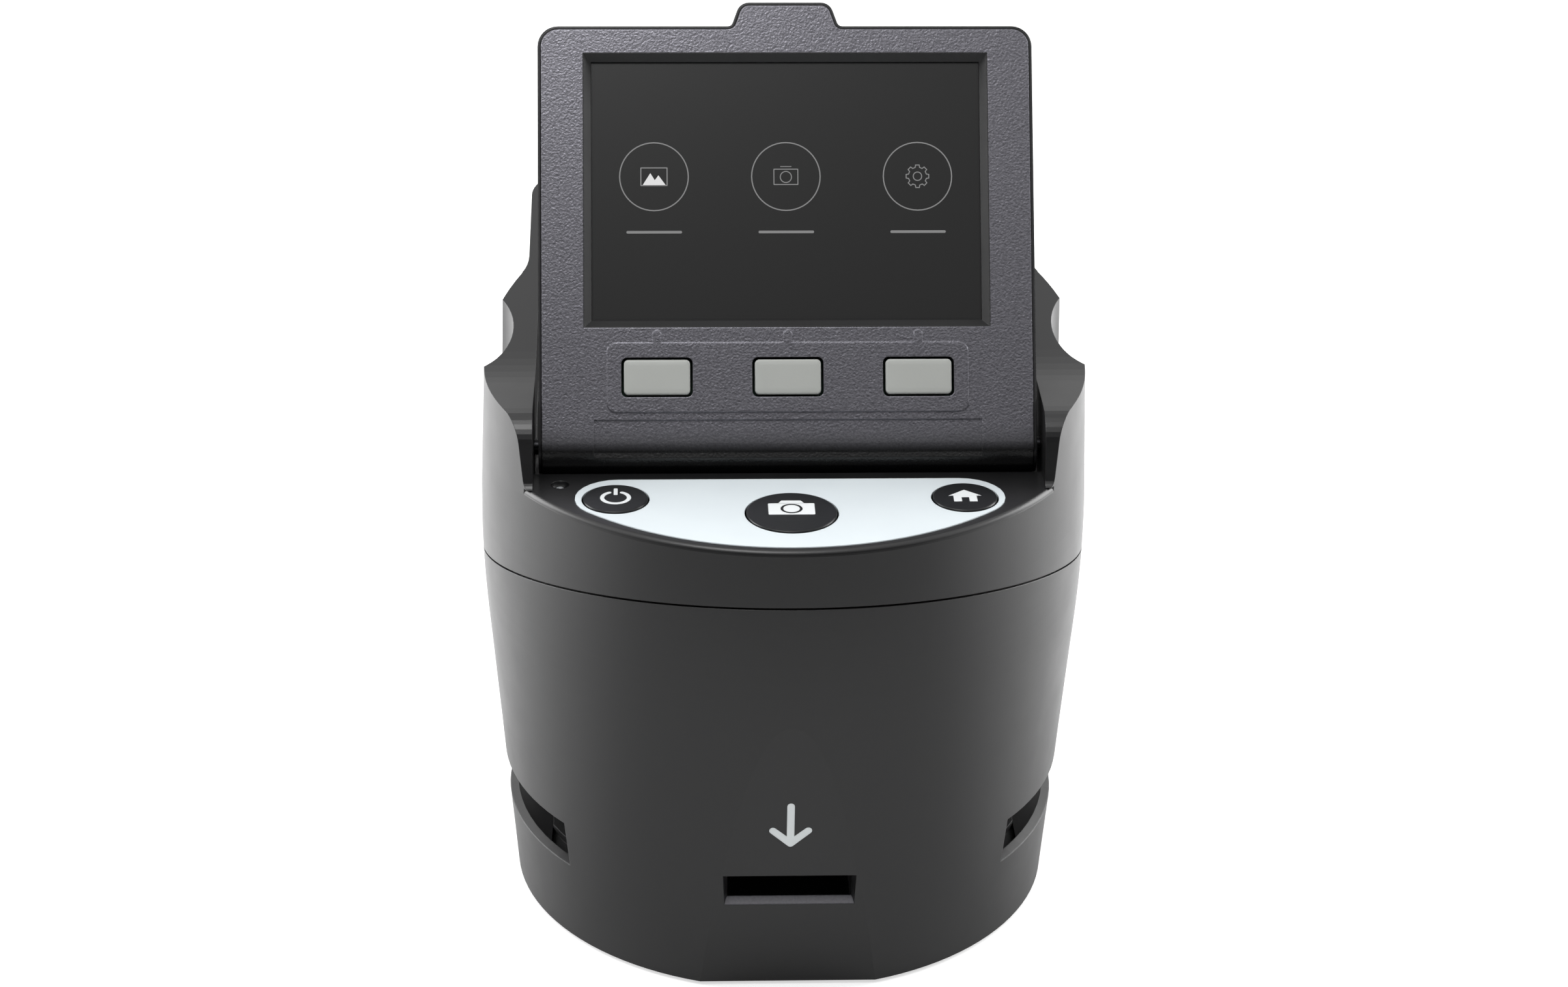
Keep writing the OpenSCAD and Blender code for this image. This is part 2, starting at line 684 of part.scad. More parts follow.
// front drum with a rounded edge around the deck
module deck_edge() {
    r = deck_r;
    rotate_extrude($fn = 128) polygon(concat(
        [[r - deck_edge_r, deck_z + 0.1], [far, deck_z + 0.1], [far, deck_z - deck_edge_r],
            [body_r(deck_z - deck_edge_r), deck_z - deck_edge_r]],
        arc(r - deck_edge_r, deck_z - deck_edge_r, deck_edge_r, 4, 90, 8)));
}

// space over the deck and over the floor that the closed screen lies above, w to each side
module recess_air(w, drop = 0) {
    floor_at = hinge_z - (drop + screen_gap - back_n) / cos(crown_slope);
    translate([-w, 0, 0]) rotate([90, 0, 90]) linear_extrude(2 * w) polygon([[-far, deck_z - drop],
        [hinge_y, deck_z - drop], [hinge_y, floor_at], [far, floor_at + (far - hinge_y) * slope_k],
        [far, 2 * far], [-far, 2 * far]]);
    // trough for the hinge barrel
    translate([0, hinge_y, hinge_z]) along_x(-w, w, trough_r + drop);
}

module scoops(grow = 0) {
    for (s = [-1, 1]) translate([s * (body_r(crown_z) - scoop_depth + scoop_r), scoop_y, scoop_z]) {
        cylinder(h = 50, r = scoop_r + grow);
        sphere(r = scoop_r + grow);
    }
}

// hollow under the deck, the recess and inside the side walls
module crown_cavity() {
    difference() {
        body_form(wall);
        // deck and its front edge
        translate([-far, -far, deck_z - wall]) cube([2 * far, far + hinge_y, far]);
        // floor and side skins of the screen recess
        recess_air(recess_w + wall, wall);
        // front and top skin of the side walls
        translate([0, wall, -wall]) deck_air(-far, far);
        scoops(wall);
        for (m = [0, 1]) mirror([m, 0, 0]) translate([0, hinge_y, hinge_z]) along_x(recess_w, far, 4);
        // columns that meet those of the lower housing, in front they end below the buttons
        at(column_xy) cylinder(h = deck_z - 5, r = post_r);
        for (p = column_xy) if (p[1] > 0) translate([p[0], p[1], 0]) cylinder(h = top_z, r = post_r);
        column_ribs(0);
        // posts that carry the button board
        at(button_post_xy, button_board_z + board_t) cylinder(h = far, r = 2.4);
    }
}

module upper_housing() {
    color(black) difference() {
        intersection() {
            body_form(0);
            above_seam(seam_gap / 2);
        }
        deck_air(-far, far);
        // rounded edge only in front of the side walls
        intersection() {
            deck_edge();
            translate([-far, -far, 0]) cube([2 * far, far + cheek_y, 2 * far]);
        }
        crown_cavity();
        // rebate for the tongue of the lower housing
        difference() {
            intersection() {
                body_form(wall / 2 - fit_gap / 2);
                below_seam(2);
            }
            body_form(wall);
        }
        recess_air(recess_w);
        scoops();
        // seat of the overlay
        translate([0, 0, deck_z - overlay_sink]) linear_extrude(5) polygon(overlay_outline(fit_gap));
        // button holes
        at(small_xy, deck_z - 8) cylinder(h = 10, r = small_d / 2 + button_gap);
        translate([0, capture_at, deck_z - 8]) cylinder(h = 10, r = capture_d / 2 + button_gap);
        // dished hole of the status light
        translate([led_x, led_y, deck_z - 8]) cylinder(h = 10, r = 1.3);
        translate([led_x, led_y, deck_z]) sphere(r = 1.7);
        // hinge pin bores
        translate([0, hinge_y, hinge_z]) along_x(-recess_w - 5, recess_w + 5, pin_r + bite);
        for (p = column_xy) translate([p[0], p[1], seam_at(p[1]) - 2])
            cylinder(h = 11, r = screw_r + bite);
        at(button_post_xy, button_board_z) cylinder(h = 6, r = 0.95 + bite);
        // ports in the back
        for (p = [[usb_x, 8.2, 4.2], [card_x, 27, 3.6], [video_x, 11.6, 4]])
            translate([p[0] - p[1] / 2 - 0.3, rear_y - 12, main_z + board_t - 0.3])
                cube([p[1] + 0.6, 20, p[2] + 0.6]);
    }
}

// ---- controls on the deck ----

// straight rear edge, round ends and an arc in front; grow widens it
function overlay_outline(grow = 0) = let (r0 = control_k * overlay_r, w = control_k * overlay_x,
    shift = control_k * (overlay_front - overlay_r), back = control_k * overlay_y + shift,
    b = r0 - w - back, r = sqrt(b * b + r0 * r0 - w * w - back * back) - b,
    cx = w - r, cy = back - r, a = atan2(cy, cx)) concat(
        arc(0, -shift, r0 + grow, -180 - a, a, 28), arc(cx, cy - shift, r + grow, a, 90, 10),
        arc(-cx, cy - shift, r + grow, 90, 180 - a, 10));

module control_overlay() {
    color([0.93, 0.95, 0.96]) translate([0, 0, deck_z - overlay_sink]) difference() {
        linear_extrude(overlay_t) polygon(overlay_outline());
        at(small_xy, -1) cylinder(h = 4, r = small_d / 2 + button_gap);
        translate([0, capture_at, -1]) cylinder(h = 4, r = capture_d / 2 + button_gap);
    }
}

// round cap with a soft edge, a flange under the deck and a stem down to its switch
module round_button(d) {
    r = d / 2;
    top = deck_z - overlay_sink + overlay_t + 0.35;
    low = deck_z - wall - fit_gap - flange_t;
    tip = button_board_z + board_t + switch_h - 1.2;
    e = 0.35;
    rotate_extrude($fn = 96) polygon(concat(
        [[0, tip], [1.5, tip], [1.5, low], [r + 1, low], [r + 1, low + flange_t], [r, low + flange_t]],
        arc(r - e, top - e - 0.08, e, 0, 80, 4),
        [[r * 0.5, top - 0.02], [0, top]]));
}

module power_button() {
    color([0.12, 0.13, 0.15]) at([small_xy[0]]) round_button(small_d);
}

module home_button() {
    color([0.12, 0.13, 0.15]) at([small_xy[1]]) round_button(small_d);
}

module capture_button() {
    color([0.12, 0.13, 0.15]) translate([0, capture_at, 0]) round_button(capture_d);
}

module button_board() {
    color([0.1, 0.35, 0.2]) translate([0, 0, button_board_z]) difference() {
        intersection() {
            cylinder(h = board_t, r = deck_r - wall - 4.2);
            translate([-40, -far, 0]) cube([80, far - 27, board_t]);
        }
        at(button_post_xy, -1) cylinder(h = 4, r = screw_r);
        at(column_xy, -1) cylinder(h = 4, r = post_r + 0.8);
    }
}

module tact_switch(w, h, hole_r, depth) {
    difference() {
        translate([-w / 2, -w / 2, 0]) cube([w, w, h]);
        translate([0, 0, h - depth]) cylinder(h = depth + 1, r = hole_r);
    }
}

module deck_switches() {
    color([0.2, 0.2, 0.22]) at(concat(small_xy, [[0, capture_at]]), button_board_z + board_t)
        tact_switch(switch_w, switch_h, 1.5 + button_gap, 1.2 + button_travel + 0.4);
}

module button_board_screws() {
    color([0.6, 0.6, 0.62]) at(button_post_xy, button_board_z - 1.8) screw_up(4.4, 0.95, 2);
}

// light pipe from a lamp at the board's corner up to the deck
module status_light() {
    z = button_board_z + board_t;
    color([0.85, 0.87, 0.9]) translate([led_x, led_y, z]) {
        cylinder(h = deck_z - 1.7 - z, r = 1.2);
        translate([0, 0, deck_z - 1.7 - z]) sphere(r = 1.2);
        translate([-1.2, -2.5, 0]) cube([8.4, 2.6, 1.2]);
    }
}

module hinge_pins() {
    color([0.75, 0.75, 0.77]) translate([0, hinge_y, hinge_z]) for (m = [0, 1]) mirror([m, 0, 0])
        along_x(recess_w + 4.8 - pin_l, recess_w + 4.8, pin_r);
}

// ---- screen unit, modelled flat and then placed on the hinge ----

// half outline with the lift tab, whose sides lean in by 20 degrees between two tangent arcs
function half_outline(inset) = let (w = screen_w / 2 - inset, l = screen_l - inset,
    r = screen_corner_r - inset, top = l + tab_h, tr = 2.4 - inset, f = 1 + inset,
    x = tab_w / 2 - inset - tr, fx = x + ((tab_h - tr - f) * sin(20) + tr + f) / cos(20)) concat(
        [[w, 0]], arc(w - r, l - r, r, 0, 90), arc(fx, l + f, f, -90, -160, 4),
        arc(x, top - tr, tr, 20, 90, 5));
function screen_outline(inset = 0) = let (half = half_outline(inset), n = len(half) - 1) concat(
    half, [for (i = [n:-1:0]) [-half[i][0], half[i][1]]]);

module screen_slab(inset, n0, n1, v0 = 0) {
    translate([0, 0, n0]) linear_extrude(n1 - n0) intersection() {
        polygon(screen_outline(inset));
        translate([-far, v0]) square([2 * far, 2 * far]);
    }
}

// display opening, open through the bezel and bevelled with mitred corners
function flare(w) = let (i = w / 2 - opening_bevel, n = face_n - opening_bevel) [[-i, split_n - 1],
    [i, split_n - 1], [i, n], [i + opening_bevel + 1, face_n + 1], [-i - opening_bevel - 1, face_n + 1],
    [-i, n]];
module opening_cut() {
    translate([0, opening_v + opening_h / 2, 0]) intersection() {
        rotate([90, 0, 0]) linear_extrude(2 * far, center = true) polygon(flare(opening_w));
        rotate([90, 0, 90]) linear_extrude(2 * far, center = true) polygon(flare(opening_h));
    }
}

// low raised field round the keys, with a tick above each key
module key_field() {
    n = face_n - 0.5;
    translate([0, (field_v0 + field_v1) / 2, n]) linear_extrude(0.5 + relief)
        polygon(round_rect(2 * field_x, field_v1 - field_v0, 1.8));
    for (i = [-1:1]) translate([i * key_pitch, field_v1 - 1, n]) {
        translate([-0.8, 0, 0]) cube([1.6, 2.6, 0.5 + relief]);
        translate([0, 2.6, 0]) cylinder(h = 0.5 + relief, r = 0.8);
    }
}

// shallow strip sunk across the foot of the face, running onto the barrel
module foot_strip() {
    translate([-strip_x, -eps, face_n - relief]) cube([2 * strip_x, strip_v + eps, 1]);
    difference() {
        along_x(-strip_x, strip_x, barrel_r + 1);
        along_x(-far, far, barrel_r - relief);
        translate([-far, 0, -far]) cube([2 * far, far, 2 * far]);
        translate([-far, -far, -far]) cube([2 * far, 2 * far, far + strip_n]);
    }
}

module key_places(n) {
    for (i = [-1:1]) translate([i * key_pitch, key_v, n]) children();
}

module screen_bezel() {
    skin = 2;
    lip_r = barrel_r - 1.4;
    color([0.27, 0.27, 0.29]) on_screen() difference() {
        union() {
            difference() {
                union() {
                    screen_slab(bezel_inset, split_n, face_n, 0);
                    key_field();
                }
                // hollow behind the face for the panel and the key board, with pads for the screws
                difference() {
                    translate([bezel_inset + 1.6 - screen_w / 2, 6, split_n - eps])
                        cube([screen_w - 2 * bezel_inset - 3.2, screen_l - 8, 3 - skin + eps]);
                    at(screen_screw_xv) cylinder(h = 9, r = 3);
                }
            }
            // lip that wraps the front of the hinge barrel
            difference() {
                along_x(bezel_inset - screen_w / 2, screen_w / 2 - bezel_inset, barrel_r);
                along_x(-screen_w, screen_w, lip_r);
                translate([-far, 0, -far]) cube([2 * far, far, 2 * far]);
                translate([-far, -far, -far]) cube([2 * far, 2 * far, far - 3.4]);
            }
        }
        along_x(-screen_w, screen_w, lip_r);
        at(screen_screw_xv, split_n - 1) cylinder(h = 3.2, r = 1.1 + bite);
        opening_cut();
        foot_strip();
        key_places(0) linear_extrude(20)
            polygon(round_rect(key_w + 2 * button_gap, key_h + 2 * button_gap, 1.1));
    }
}

module screen_back() {
    skin = 1.6;
    w = screen_w / 2;
    color(black) on_screen() difference() {
        union() {
            // rim round the bezel, closed by a disc at each end of the barrel
            difference() {
                screen_slab(0, split_n - fit_gap - eps, face_n - rim_drop, 0);
                screen_slab(bezel_inset - fit_gap, 0, far, -1);
            }
            for (m = [0, 1]) mirror([m, 0, 0]) difference() {
                along_x(w - bezel_inset + fit_gap, w, barrel_r - rim_drop);
                translate([-far, 0, -far]) cube([2 * far, far, 2 * far]);
            }
            difference() {
                screen_slab(0, back_n, split_n - fit_gap, 0);
                // hollow behind the face
                difference() {
                    screen_slab(skin, back_n + skin, far, barrel_r + 1);
                    translate([-far, screen_l - 4.2, -far]) cube([2 * far, far, 2 * far]);
                    at(screen_screw_xv, back_n) cylinder(h = 20, r = 3);
                }
            }
            along_x(-w, w, barrel_r - 1.5);
            intersection() {
                along_x(-w, w, barrel_r);
                translate([-far, 0, -far]) cube([2 * far, far, far + split_n - fit_gap]);
            }
            intersection() {
                along_x(-w, w, barrel_r);
                translate([-far, -far, -far]) cube([2 * far, 2 * far, far - 3.5]);
            }
        }
        // bores for the friction sleeves and a hollow core for the ribbon
        along_x(-far, far, sleeve_r + bite);
        at(screen_screw_xv, back_n - 1) cylinder(h = 20, r = 1.3);
        at(screen_screw_xv, back_n - 1) cylinder(h = 2.9, r = 2.2);
    }
}

module friction_sleeves() {
    color([0.7, 0.6, 0.35]) on_screen() for (m = [0, 1]) mirror([m, 0, 0]) difference() {
        along_x(screen_w / 2 - 9, screen_w / 2, sleeve_r);
        along_x(0, far, pin_r + pin_gap);
    }
}

module display_panel() {
    color([0.7, 0.7, 0.72]) on_screen() translate([0, opening_v + opening_h / 2, back_n + 1.6])
        linear_extrude(split_n - back_n - 1.6) square([opening_w + 2, opening_h + 0.6], center = true);
}

module display_window() {
    color([0.08, 0.08, 0.09]) on_screen() translate([0, opening_v + opening_h / 2, split_n])
        linear_extrude(0.95) square([opening_w + 3, opening_h + 1.6], center = true);
}

module key_board() {
    color([0.1, 0.35, 0.2]) on_screen() translate([0, key_v, back_n + 1.6])
        linear_extrude(1) square([2 * key_pitch + 20, 8], center = true);
}

module key_switches() {
    color([0.2, 0.2, 0.22]) on_screen() key_places(back_n + 2.6)
        tact_switch(4.6, 1.9, 1.3, 1 + key_travel);
}

// key cap with a flange behind the bezel and a stub over its switch
module screen_key() {
    top = face_n + 0.7;
    low = split_n + 0.35;
    key_cap(key_w, key_h, 0.9, split_n + 1, top);
    translate([0, 0, low]) linear_extrude(0.55)
        square([key_w + 1.6, key_h + 1.4], center = true);
    translate([0, 0, back_n + 3.9]) cylinder(h = low - back_n - 3.8, r = 1);
}

module key_cap(w, h, r, n0, n1) {
    translate([0, 0, n0 - 0.2]) linear_extrude(n1 - 0.3 - n0 + 0.2) polygon(round_rect(w, h, r));
    translate([0, 0, n1 - 0.3]) linear_extrude(0.3) polygon(round_rect(w - 0.5, h - 0.5, r - 0.2));
}

module left_key() {
    color([0.6, 0.61, 0.6]) on_screen() translate([-key_pitch, key_v, 0]) screen_key();
}

module middle_key() {
    color([0.6, 0.61, 0.6]) on_screen() translate([0, key_v, 0]) screen_key();
}

module right_key() {
    color([0.6, 0.61, 0.6]) on_screen() translate([key_pitch, key_v, 0]) screen_key();
}

module screen_screws() {
    color([0.6, 0.6, 0.62]) on_screen() at(screen_screw_xv, back_n + 0.1)
        screw_up(split_n - back_n, 1.1, 2);
}

lower_housing();
upper_housing();
base_plate();
rubber_feet();
base_screws();
housing_screws();
film_bed();
diffuser();
light_box();
backlight_board();
backlight_leds();
light_box_screws();
film_gate();
tower_screws();
lens_barrel();
lens_glass();
sensor_board();
image_sensor();
sensor_screws();
main_board();
board_chips();
board_screws();
usb_socket();
card_socket();
video_socket();
button_board();
deck_switches();
button_board_screws();
status_light();
control_overlay();
power_button();
capture_button();
home_button();
hinge_pins();
screen_bezel();
screen_back();
display_panel();
display_window();
key_board();
key_switches();
screen_screws();
friction_sleeves();
left_key();
middle_key();
right_key();
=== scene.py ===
"""A desktop film and slide scanner: finishes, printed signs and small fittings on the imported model."""
import json
import math

import bmesh
import bpy
from mathutils import Matrix, Quaternion, Vector


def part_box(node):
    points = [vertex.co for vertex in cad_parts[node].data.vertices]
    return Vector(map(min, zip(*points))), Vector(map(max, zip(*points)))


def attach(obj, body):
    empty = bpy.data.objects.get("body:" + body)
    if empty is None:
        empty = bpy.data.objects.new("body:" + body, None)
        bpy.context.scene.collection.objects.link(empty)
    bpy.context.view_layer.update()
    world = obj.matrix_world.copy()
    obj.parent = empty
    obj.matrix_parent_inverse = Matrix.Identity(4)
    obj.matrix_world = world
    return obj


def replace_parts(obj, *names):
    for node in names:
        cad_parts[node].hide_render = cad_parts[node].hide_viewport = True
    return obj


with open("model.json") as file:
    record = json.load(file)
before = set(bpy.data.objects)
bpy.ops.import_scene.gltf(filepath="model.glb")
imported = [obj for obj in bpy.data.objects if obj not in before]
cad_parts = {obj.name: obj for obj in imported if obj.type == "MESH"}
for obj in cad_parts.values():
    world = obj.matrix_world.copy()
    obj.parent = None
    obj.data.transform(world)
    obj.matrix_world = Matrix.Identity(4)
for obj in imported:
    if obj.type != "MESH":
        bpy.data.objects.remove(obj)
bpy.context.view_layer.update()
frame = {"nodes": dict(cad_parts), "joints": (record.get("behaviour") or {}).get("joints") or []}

# ---- Housings: two injection-moulded ABS shells, charcoal, with a fine spark-eroded grain.
# The lower one carries the film passage, the upper one the deck and the screen's recess;
# four screws from below draw them together along the tilted parting line.

MM = 0.001                                    # sizes are written in millimetres, Blender works in metres
BY, DARK, PALE, MIXED = 0, 6, 7, 2            # a colour Mix node's inputs and its output, by number
NOISE_LOW, NOISE_HIGH = 0.3, 0.7              # nearly all of a noise lies between these


def srgb(code):
    """A #rrggbb colour as the linear values that a shader takes."""
    parts = [int(code[i:i + 2], 16) / 255 for i in (1, 3, 5)]
    return tuple(c / 12.92 if c <= 0.04045 else ((c + 0.055) / 1.055) ** 2.4 for c in parts) + (1,)


def feed(tree, node, inputs):
    """Fills a node's inputs, by name or number: an output socket is linked, anything else is set."""
    for socket, source in inputs.items():
        if isinstance(source, bpy.types.NodeSocket):
            tree.links.new(source, node.inputs[socket])
        else:
            node.inputs[socket].default_value = source


def add(tree, kind, inputs, **settings):
    """Adds a node with its settings, and fills its inputs."""
    node = tree.nodes.new(kind)
    for key, value in settings.items():
        setattr(node, key, value)
    feed(tree, node, inputs)
    return node


def finish(name):
    """A new material, its node tree, its shader, and the object coordinates that its patterns lie on."""
    material = bpy.data.materials.new(name)
    material.use_nodes = True
    tree = material.node_tree
    place = add(tree, "ShaderNodeTexCoord", {}).outputs["Object"]
    return material, tree, tree.nodes["Principled BSDF"], place


def moulded(name, colour, pale, roughness, grain_mm, depth_mm, mottle_mm=9.0, specular=0.5, edge_mm=0.25):
    """Moulded plastic: a spark-eroded grain of a real size, a faint cloudiness in its shade and gloss,
    and edges that catch the light as if they were rounded by edge_mm."""
    gloss_swing = 0.02
    material, tree, shader, place = finish(name)
    cloud = add(tree, "ShaderNodeTexNoise", {"Vector": place, "Scale": 1 / (mottle_mm * MM), "Detail": 3.0})
    shade = add(tree, "ShaderNodeMix", {BY: cloud.outputs["Fac"], DARK: srgb(colour), PALE: srgb(pale)},
                data_type="RGBA")
    gloss = add(tree, "ShaderNodeMapRange", {"Value": cloud.outputs["Fac"],
                                             "From Min": NOISE_LOW, "To Min": roughness - gloss_swing,
                                             "From Max": NOISE_HIGH, "To Max": roughness + gloss_swing})
    grain = add(tree, "ShaderNodeTexNoise", {"Vector": place, "Scale": 1 / (grain_mm * MM), "Detail": 2.0})
    edge = add(tree, "ShaderNodeBevel", {"Radius": edge_mm * MM}, samples=4)
    bump = add(tree, "ShaderNodeBump", {"Height": grain.outputs["Fac"], "Normal": edge.outputs[0],
                                        "Strength": 1.0, "Distance": depth_mm * MM})
    feed(tree, shader, {"Base Color": shade.outputs[MIXED], "Roughness": gloss.outputs[0],
                        "Normal": bump.outputs[0], "IOR": 1.53, "Specular IOR Level": specular})
    return material


def dress(material, *nodes):
    """Gives CAD nodes their finish."""
    for node in nodes:
        for slot in frame["nodes"][node].material_slots:
            slot.material = material


# The grain is too fine to see pit by pit: it spreads each highlight into a soft, even sheen. It is
# drawn 0.3 mm wide, a few times its real width. The edges show as a hairline of light.
charcoal_abs = moulded("charcoal ABS, fine spark-eroded", "#101011", "#131314", roughness=0.36,
                       grain_mm=0.3, depth_mm=0.006, edge_mm=0.2)
dress(charcoal_abs, "lower_housing", "upper_housing")

# ---- Base plate and feet: a plain black ABS plate let into the lower housing and screwed to it from
# below. Four moulded rubber feet are pressed into it and leave a thin shadow under the rim.

# Without the housings' grain the plate is a shade greyer and duller than they are.
plain_abs = moulded("black ABS, plain", "#171718", "#1b1b1c", roughness=0.45, grain_mm=0.3, depth_mm=0.008)
dress(plain_abs, "base_plate")

# Rubber takes no highlight, only a broad dim glow on the side towards the light.
rubber = moulded("black rubber, moulded", "#0e0e0e", "#141414", roughness=0.8, grain_mm=0.4,
                 depth_mm=0.02, specular=0.3)
dress(rubber, "rubber_feet")

# ---- Screws: zinc-plated steel with cross-slotted pan heads, driven into plain bosses. Each group
# of like screws holds one thing: the base plate, the housings, the light box, the film gate, one of
# three boards, or the screen's back cover.


def metal(name, colour, roughness, speckle_mm, depth_mm):
    """Bare or plated metal: one colour, with a shine that changes from speckle to speckle."""
    gloss_swing = 0.08
    material, tree, shader, place = finish(name)
    speckle = add(tree, "ShaderNodeTexNoise", {"Vector": place, "Scale": 1 / (speckle_mm * MM),
                                               "Detail": 2.0})
    gloss = add(tree, "ShaderNodeMapRange", {"Value": speckle.outputs["Fac"],
                                             "From Min": NOISE_LOW, "To Min": roughness - gloss_swing,
                                             "From Max": NOISE_HIGH, "To Max": roughness + gloss_swing})
    bump = add(tree, "ShaderNodeBump", {"Height": speckle.outputs["Fac"], "Strength": 1.0,
                                        "Distance": depth_mm * MM})
    feed(tree, shader, {"Base Color": srgb(colour), "Metallic": 1.0, "Roughness": gloss.outputs[0],
                        "Normal": bump.outputs[0]})
    return material


# Plating dulls the steel's mirror to a soft grey shine. Its crystals are drawn a quarter of a
# millimetre wide, far coarser than they are, so that they show.
zinc = metal("zinc-plated steel", "#b4b4b8", roughness=0.32, speckle_mm=0.25, depth_mm=0.004)
dress(zinc, "base_screws", "housing_screws", "light_box_screws", "tower_screws", "sensor_screws",
      "board_screws", "button_board_screws", "screen_screws")

# ---- Film passage: a bed below and a gate plate with the lens tower above, both moulded in matt
# black ABS and screwed in between the walls of the lower housing.

# A coarse grain breaks up the light that falls in at the slots, so that the passage stays black.
light_trap_abs = moulded("black ABS, light trap", "#09090a", "#0d0d0e", roughness=0.6, grain_mm=0.45,
                         depth_mm=0.03, specular=0.3)
dress(light_trap_abs, "film_bed", "film_gate")

# ---- Front window's edge: a mitred bevel of the housing's own plastic round the opening in the
# leaning front flat, narrow at the sides and broad at the sill, which is painted a pale grey as a painted
# highlight.

flat_y, flat_lean = -51.0, math.radians(7.26)
front = Matrix.Translation((0, flat_y * MM, 0)) @ Matrix.Rotation(math.radians(90) + flat_lean, 4, "X")
mouth = (-12.76, 19.76, 12.76, 26.71)         # left, low, right, top, measured on the flat
throat = (-11.85, 20.8, 11.85, 26.4)
throat_depth, skin = 1.5, 0.02                # the bevel starts a skin's depth under the flat


def put(name, data):
    """A new object in the scene, at the origin."""
    made = bpy.data.objects.new(name, data)
    bpy.context.scene.collection.objects.link(made)
    return made


def piece_of(name, shape, body, *materials):
    """Makes a closed shape a piece of the object, with its faces outwards, riding on a body."""
    bmesh.ops.recalc_face_normals(shape, faces=shape.faces)
    mesh = bpy.data.meshes.new(name)
    shape.to_mesh(mesh)
    shape.free()
    for material in materials:
        mesh.materials.append(material)
    piece = put(name, mesh)
    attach(piece, body)
    return piece


def skinned(shape, rings, closed):
    """Faces from each ring of points to the next. The last ring joins the first, or both ends get a lid."""
    for near, far in zip(rings, rings[1:] + (rings[:1] if closed else [])):
        for k in range(len(near)):
            shape.faces.new((near[k - 1], near[k], far[k], far[k - 1]))
    if not closed:
        shape.faces.new(rings[0])
        shape.faces.new(rings[-1])


def mitred(name, rows, place, body, *materials):
    """A closed frame of four mitred strips. A row is its four edges and its height over the face;
    the last material takes the strips along the lower edge."""
    shape = bmesh.new()
    rings = []
    for (left, low, right, top), height in rows:
        corners = ((left, low), (right, low), (right, top), (left, top))
        rings.append([shape.verts.new(place @ (Vector((x, y, height)) * MM)) for x, y in corners])
    skinned(shape, rings, closed=True)
    for number, strip in enumerate(shape.faces):
        strip.material_index = len(materials) - 1 if number % 4 == 1 else 0
    piece_of(name, shape, body, *materials)


# The sill is painted a pale grey, a painted highlight for the light falling on it; its grain is 0.4 mm
# coarse.
sill_painted_light_abs = moulded("charcoal ABS, painted light grey sill", "#4c4b50", "#68676d", roughness=0.5,
                    grain_mm=0.4, depth_mm=0.08, mottle_mm=0.5)
mitred("window_edge", [(mouth, -skin), (throat, -throat_depth), (mouth, -throat_depth)],
       front, "housing", charcoal_abs, sill_painted_light_abs)

# ---- Side slots' sills: a low ramp of the housing's plastic, moulded in one with it, runs along the
# lower edge of each slot. It rises inwards and lifts the film holder clear of the edge.

slot_z, slot_front_y = 17.8, -35.45
wall_r = 55.2                                 # the round wall at the height of the slots
wall_deg, step_deg, steps = -39.9, 4.1, 16    # along the round wall, from the slot's front end
flare = ((48.66, 26.15), (47.56, 28.8), (46.95, 32.85), (46.9, 35.9))     # on into the square rear part
sill_w, sill_edge, sill_lip, sill_bed = 1.7, 0.04, 0.7, 0.05


def slot_sill(name, side):
    """The sill on one side: -1 is left, 1 is right."""
    run = []
    for step in range(steps + 1):
        angle = math.radians(wall_deg + step_deg * step)
        run.append((wall_r * math.cos(angle), wall_r * math.sin(angle), math.cos(angle), math.sin(angle)))
    run += [(x, y, 1.0, 0.0) for x, y in flare]
    shape = bmesh.new()
    rings = []
    for x, y, out_x, out_y in run:
        edge, lip = (x, y), (x - sill_w * out_x, y - sill_w * out_y)
        outline = ((edge, sill_edge), (lip, sill_lip), (lip, -sill_bed), (edge, -sill_bed))
        rings.append([shape.verts.new(Vector((side * px, max(slot_front_y, py), slot_z + rise)) * MM)
                      for (px, py), rise in outline])
    skinned(shape, rings, closed=False)
    piece_of(name, shape, "housing", charcoal_abs)


slot_sill("left_slot_sill", -1)
slot_sill("right_slot_sill", 1)

# ---- Lamp under the gate: a cast opal acrylic plate over a white ABS box that a board of white
# lamps closes below. It is screwed under the film bed.

# Light scatters inside opal acrylic, so that it looks milky; its cast face has a faint slow ripple.
ripple_mm, ripple_depth_mm = 2.5, 0.01
opal, tree, shader, place = finish("opal acrylic, cast")
ripple = add(tree, "ShaderNodeTexNoise", {"Vector": place, "Scale": 1 / (ripple_mm * MM)})
bump = add(tree, "ShaderNodeBump", {"Height": ripple.outputs["Fac"], "Strength": 1.0,
                                    "Distance": ripple_depth_mm * MM})
feed(tree, shader, {"Base Color": srgb("#eef2f4"), "Roughness": 0.3, "IOR": 1.49, "Normal": bump.outputs[0],
                    "Subsurface Weight": 0.3, "Subsurface Scale": 1.5 * MM})
dress(opal, "diffuser")

# The box's satin white throws the light on; the lamps' resin holds a phosphor that makes it yellow.
white_abs = moulded("white ABS, satin", "#dcdcda", "#e6e6e4", roughness=0.45, grain_mm=0.3, depth_mm=0.008)
dress(white_abs, "light_box")
resin = moulded("yellow lamp resin", "#e6d690", "#efe2a8", roughness=0.2, grain_mm=0.6, depth_mm=0.004)
dress(resin, "backlight_leds")

# ---- Circuit boards: glass-fibre laminate under green solder mask, screwed to posts and columns,
# with chips and switches of moulded epoxy soldered on.

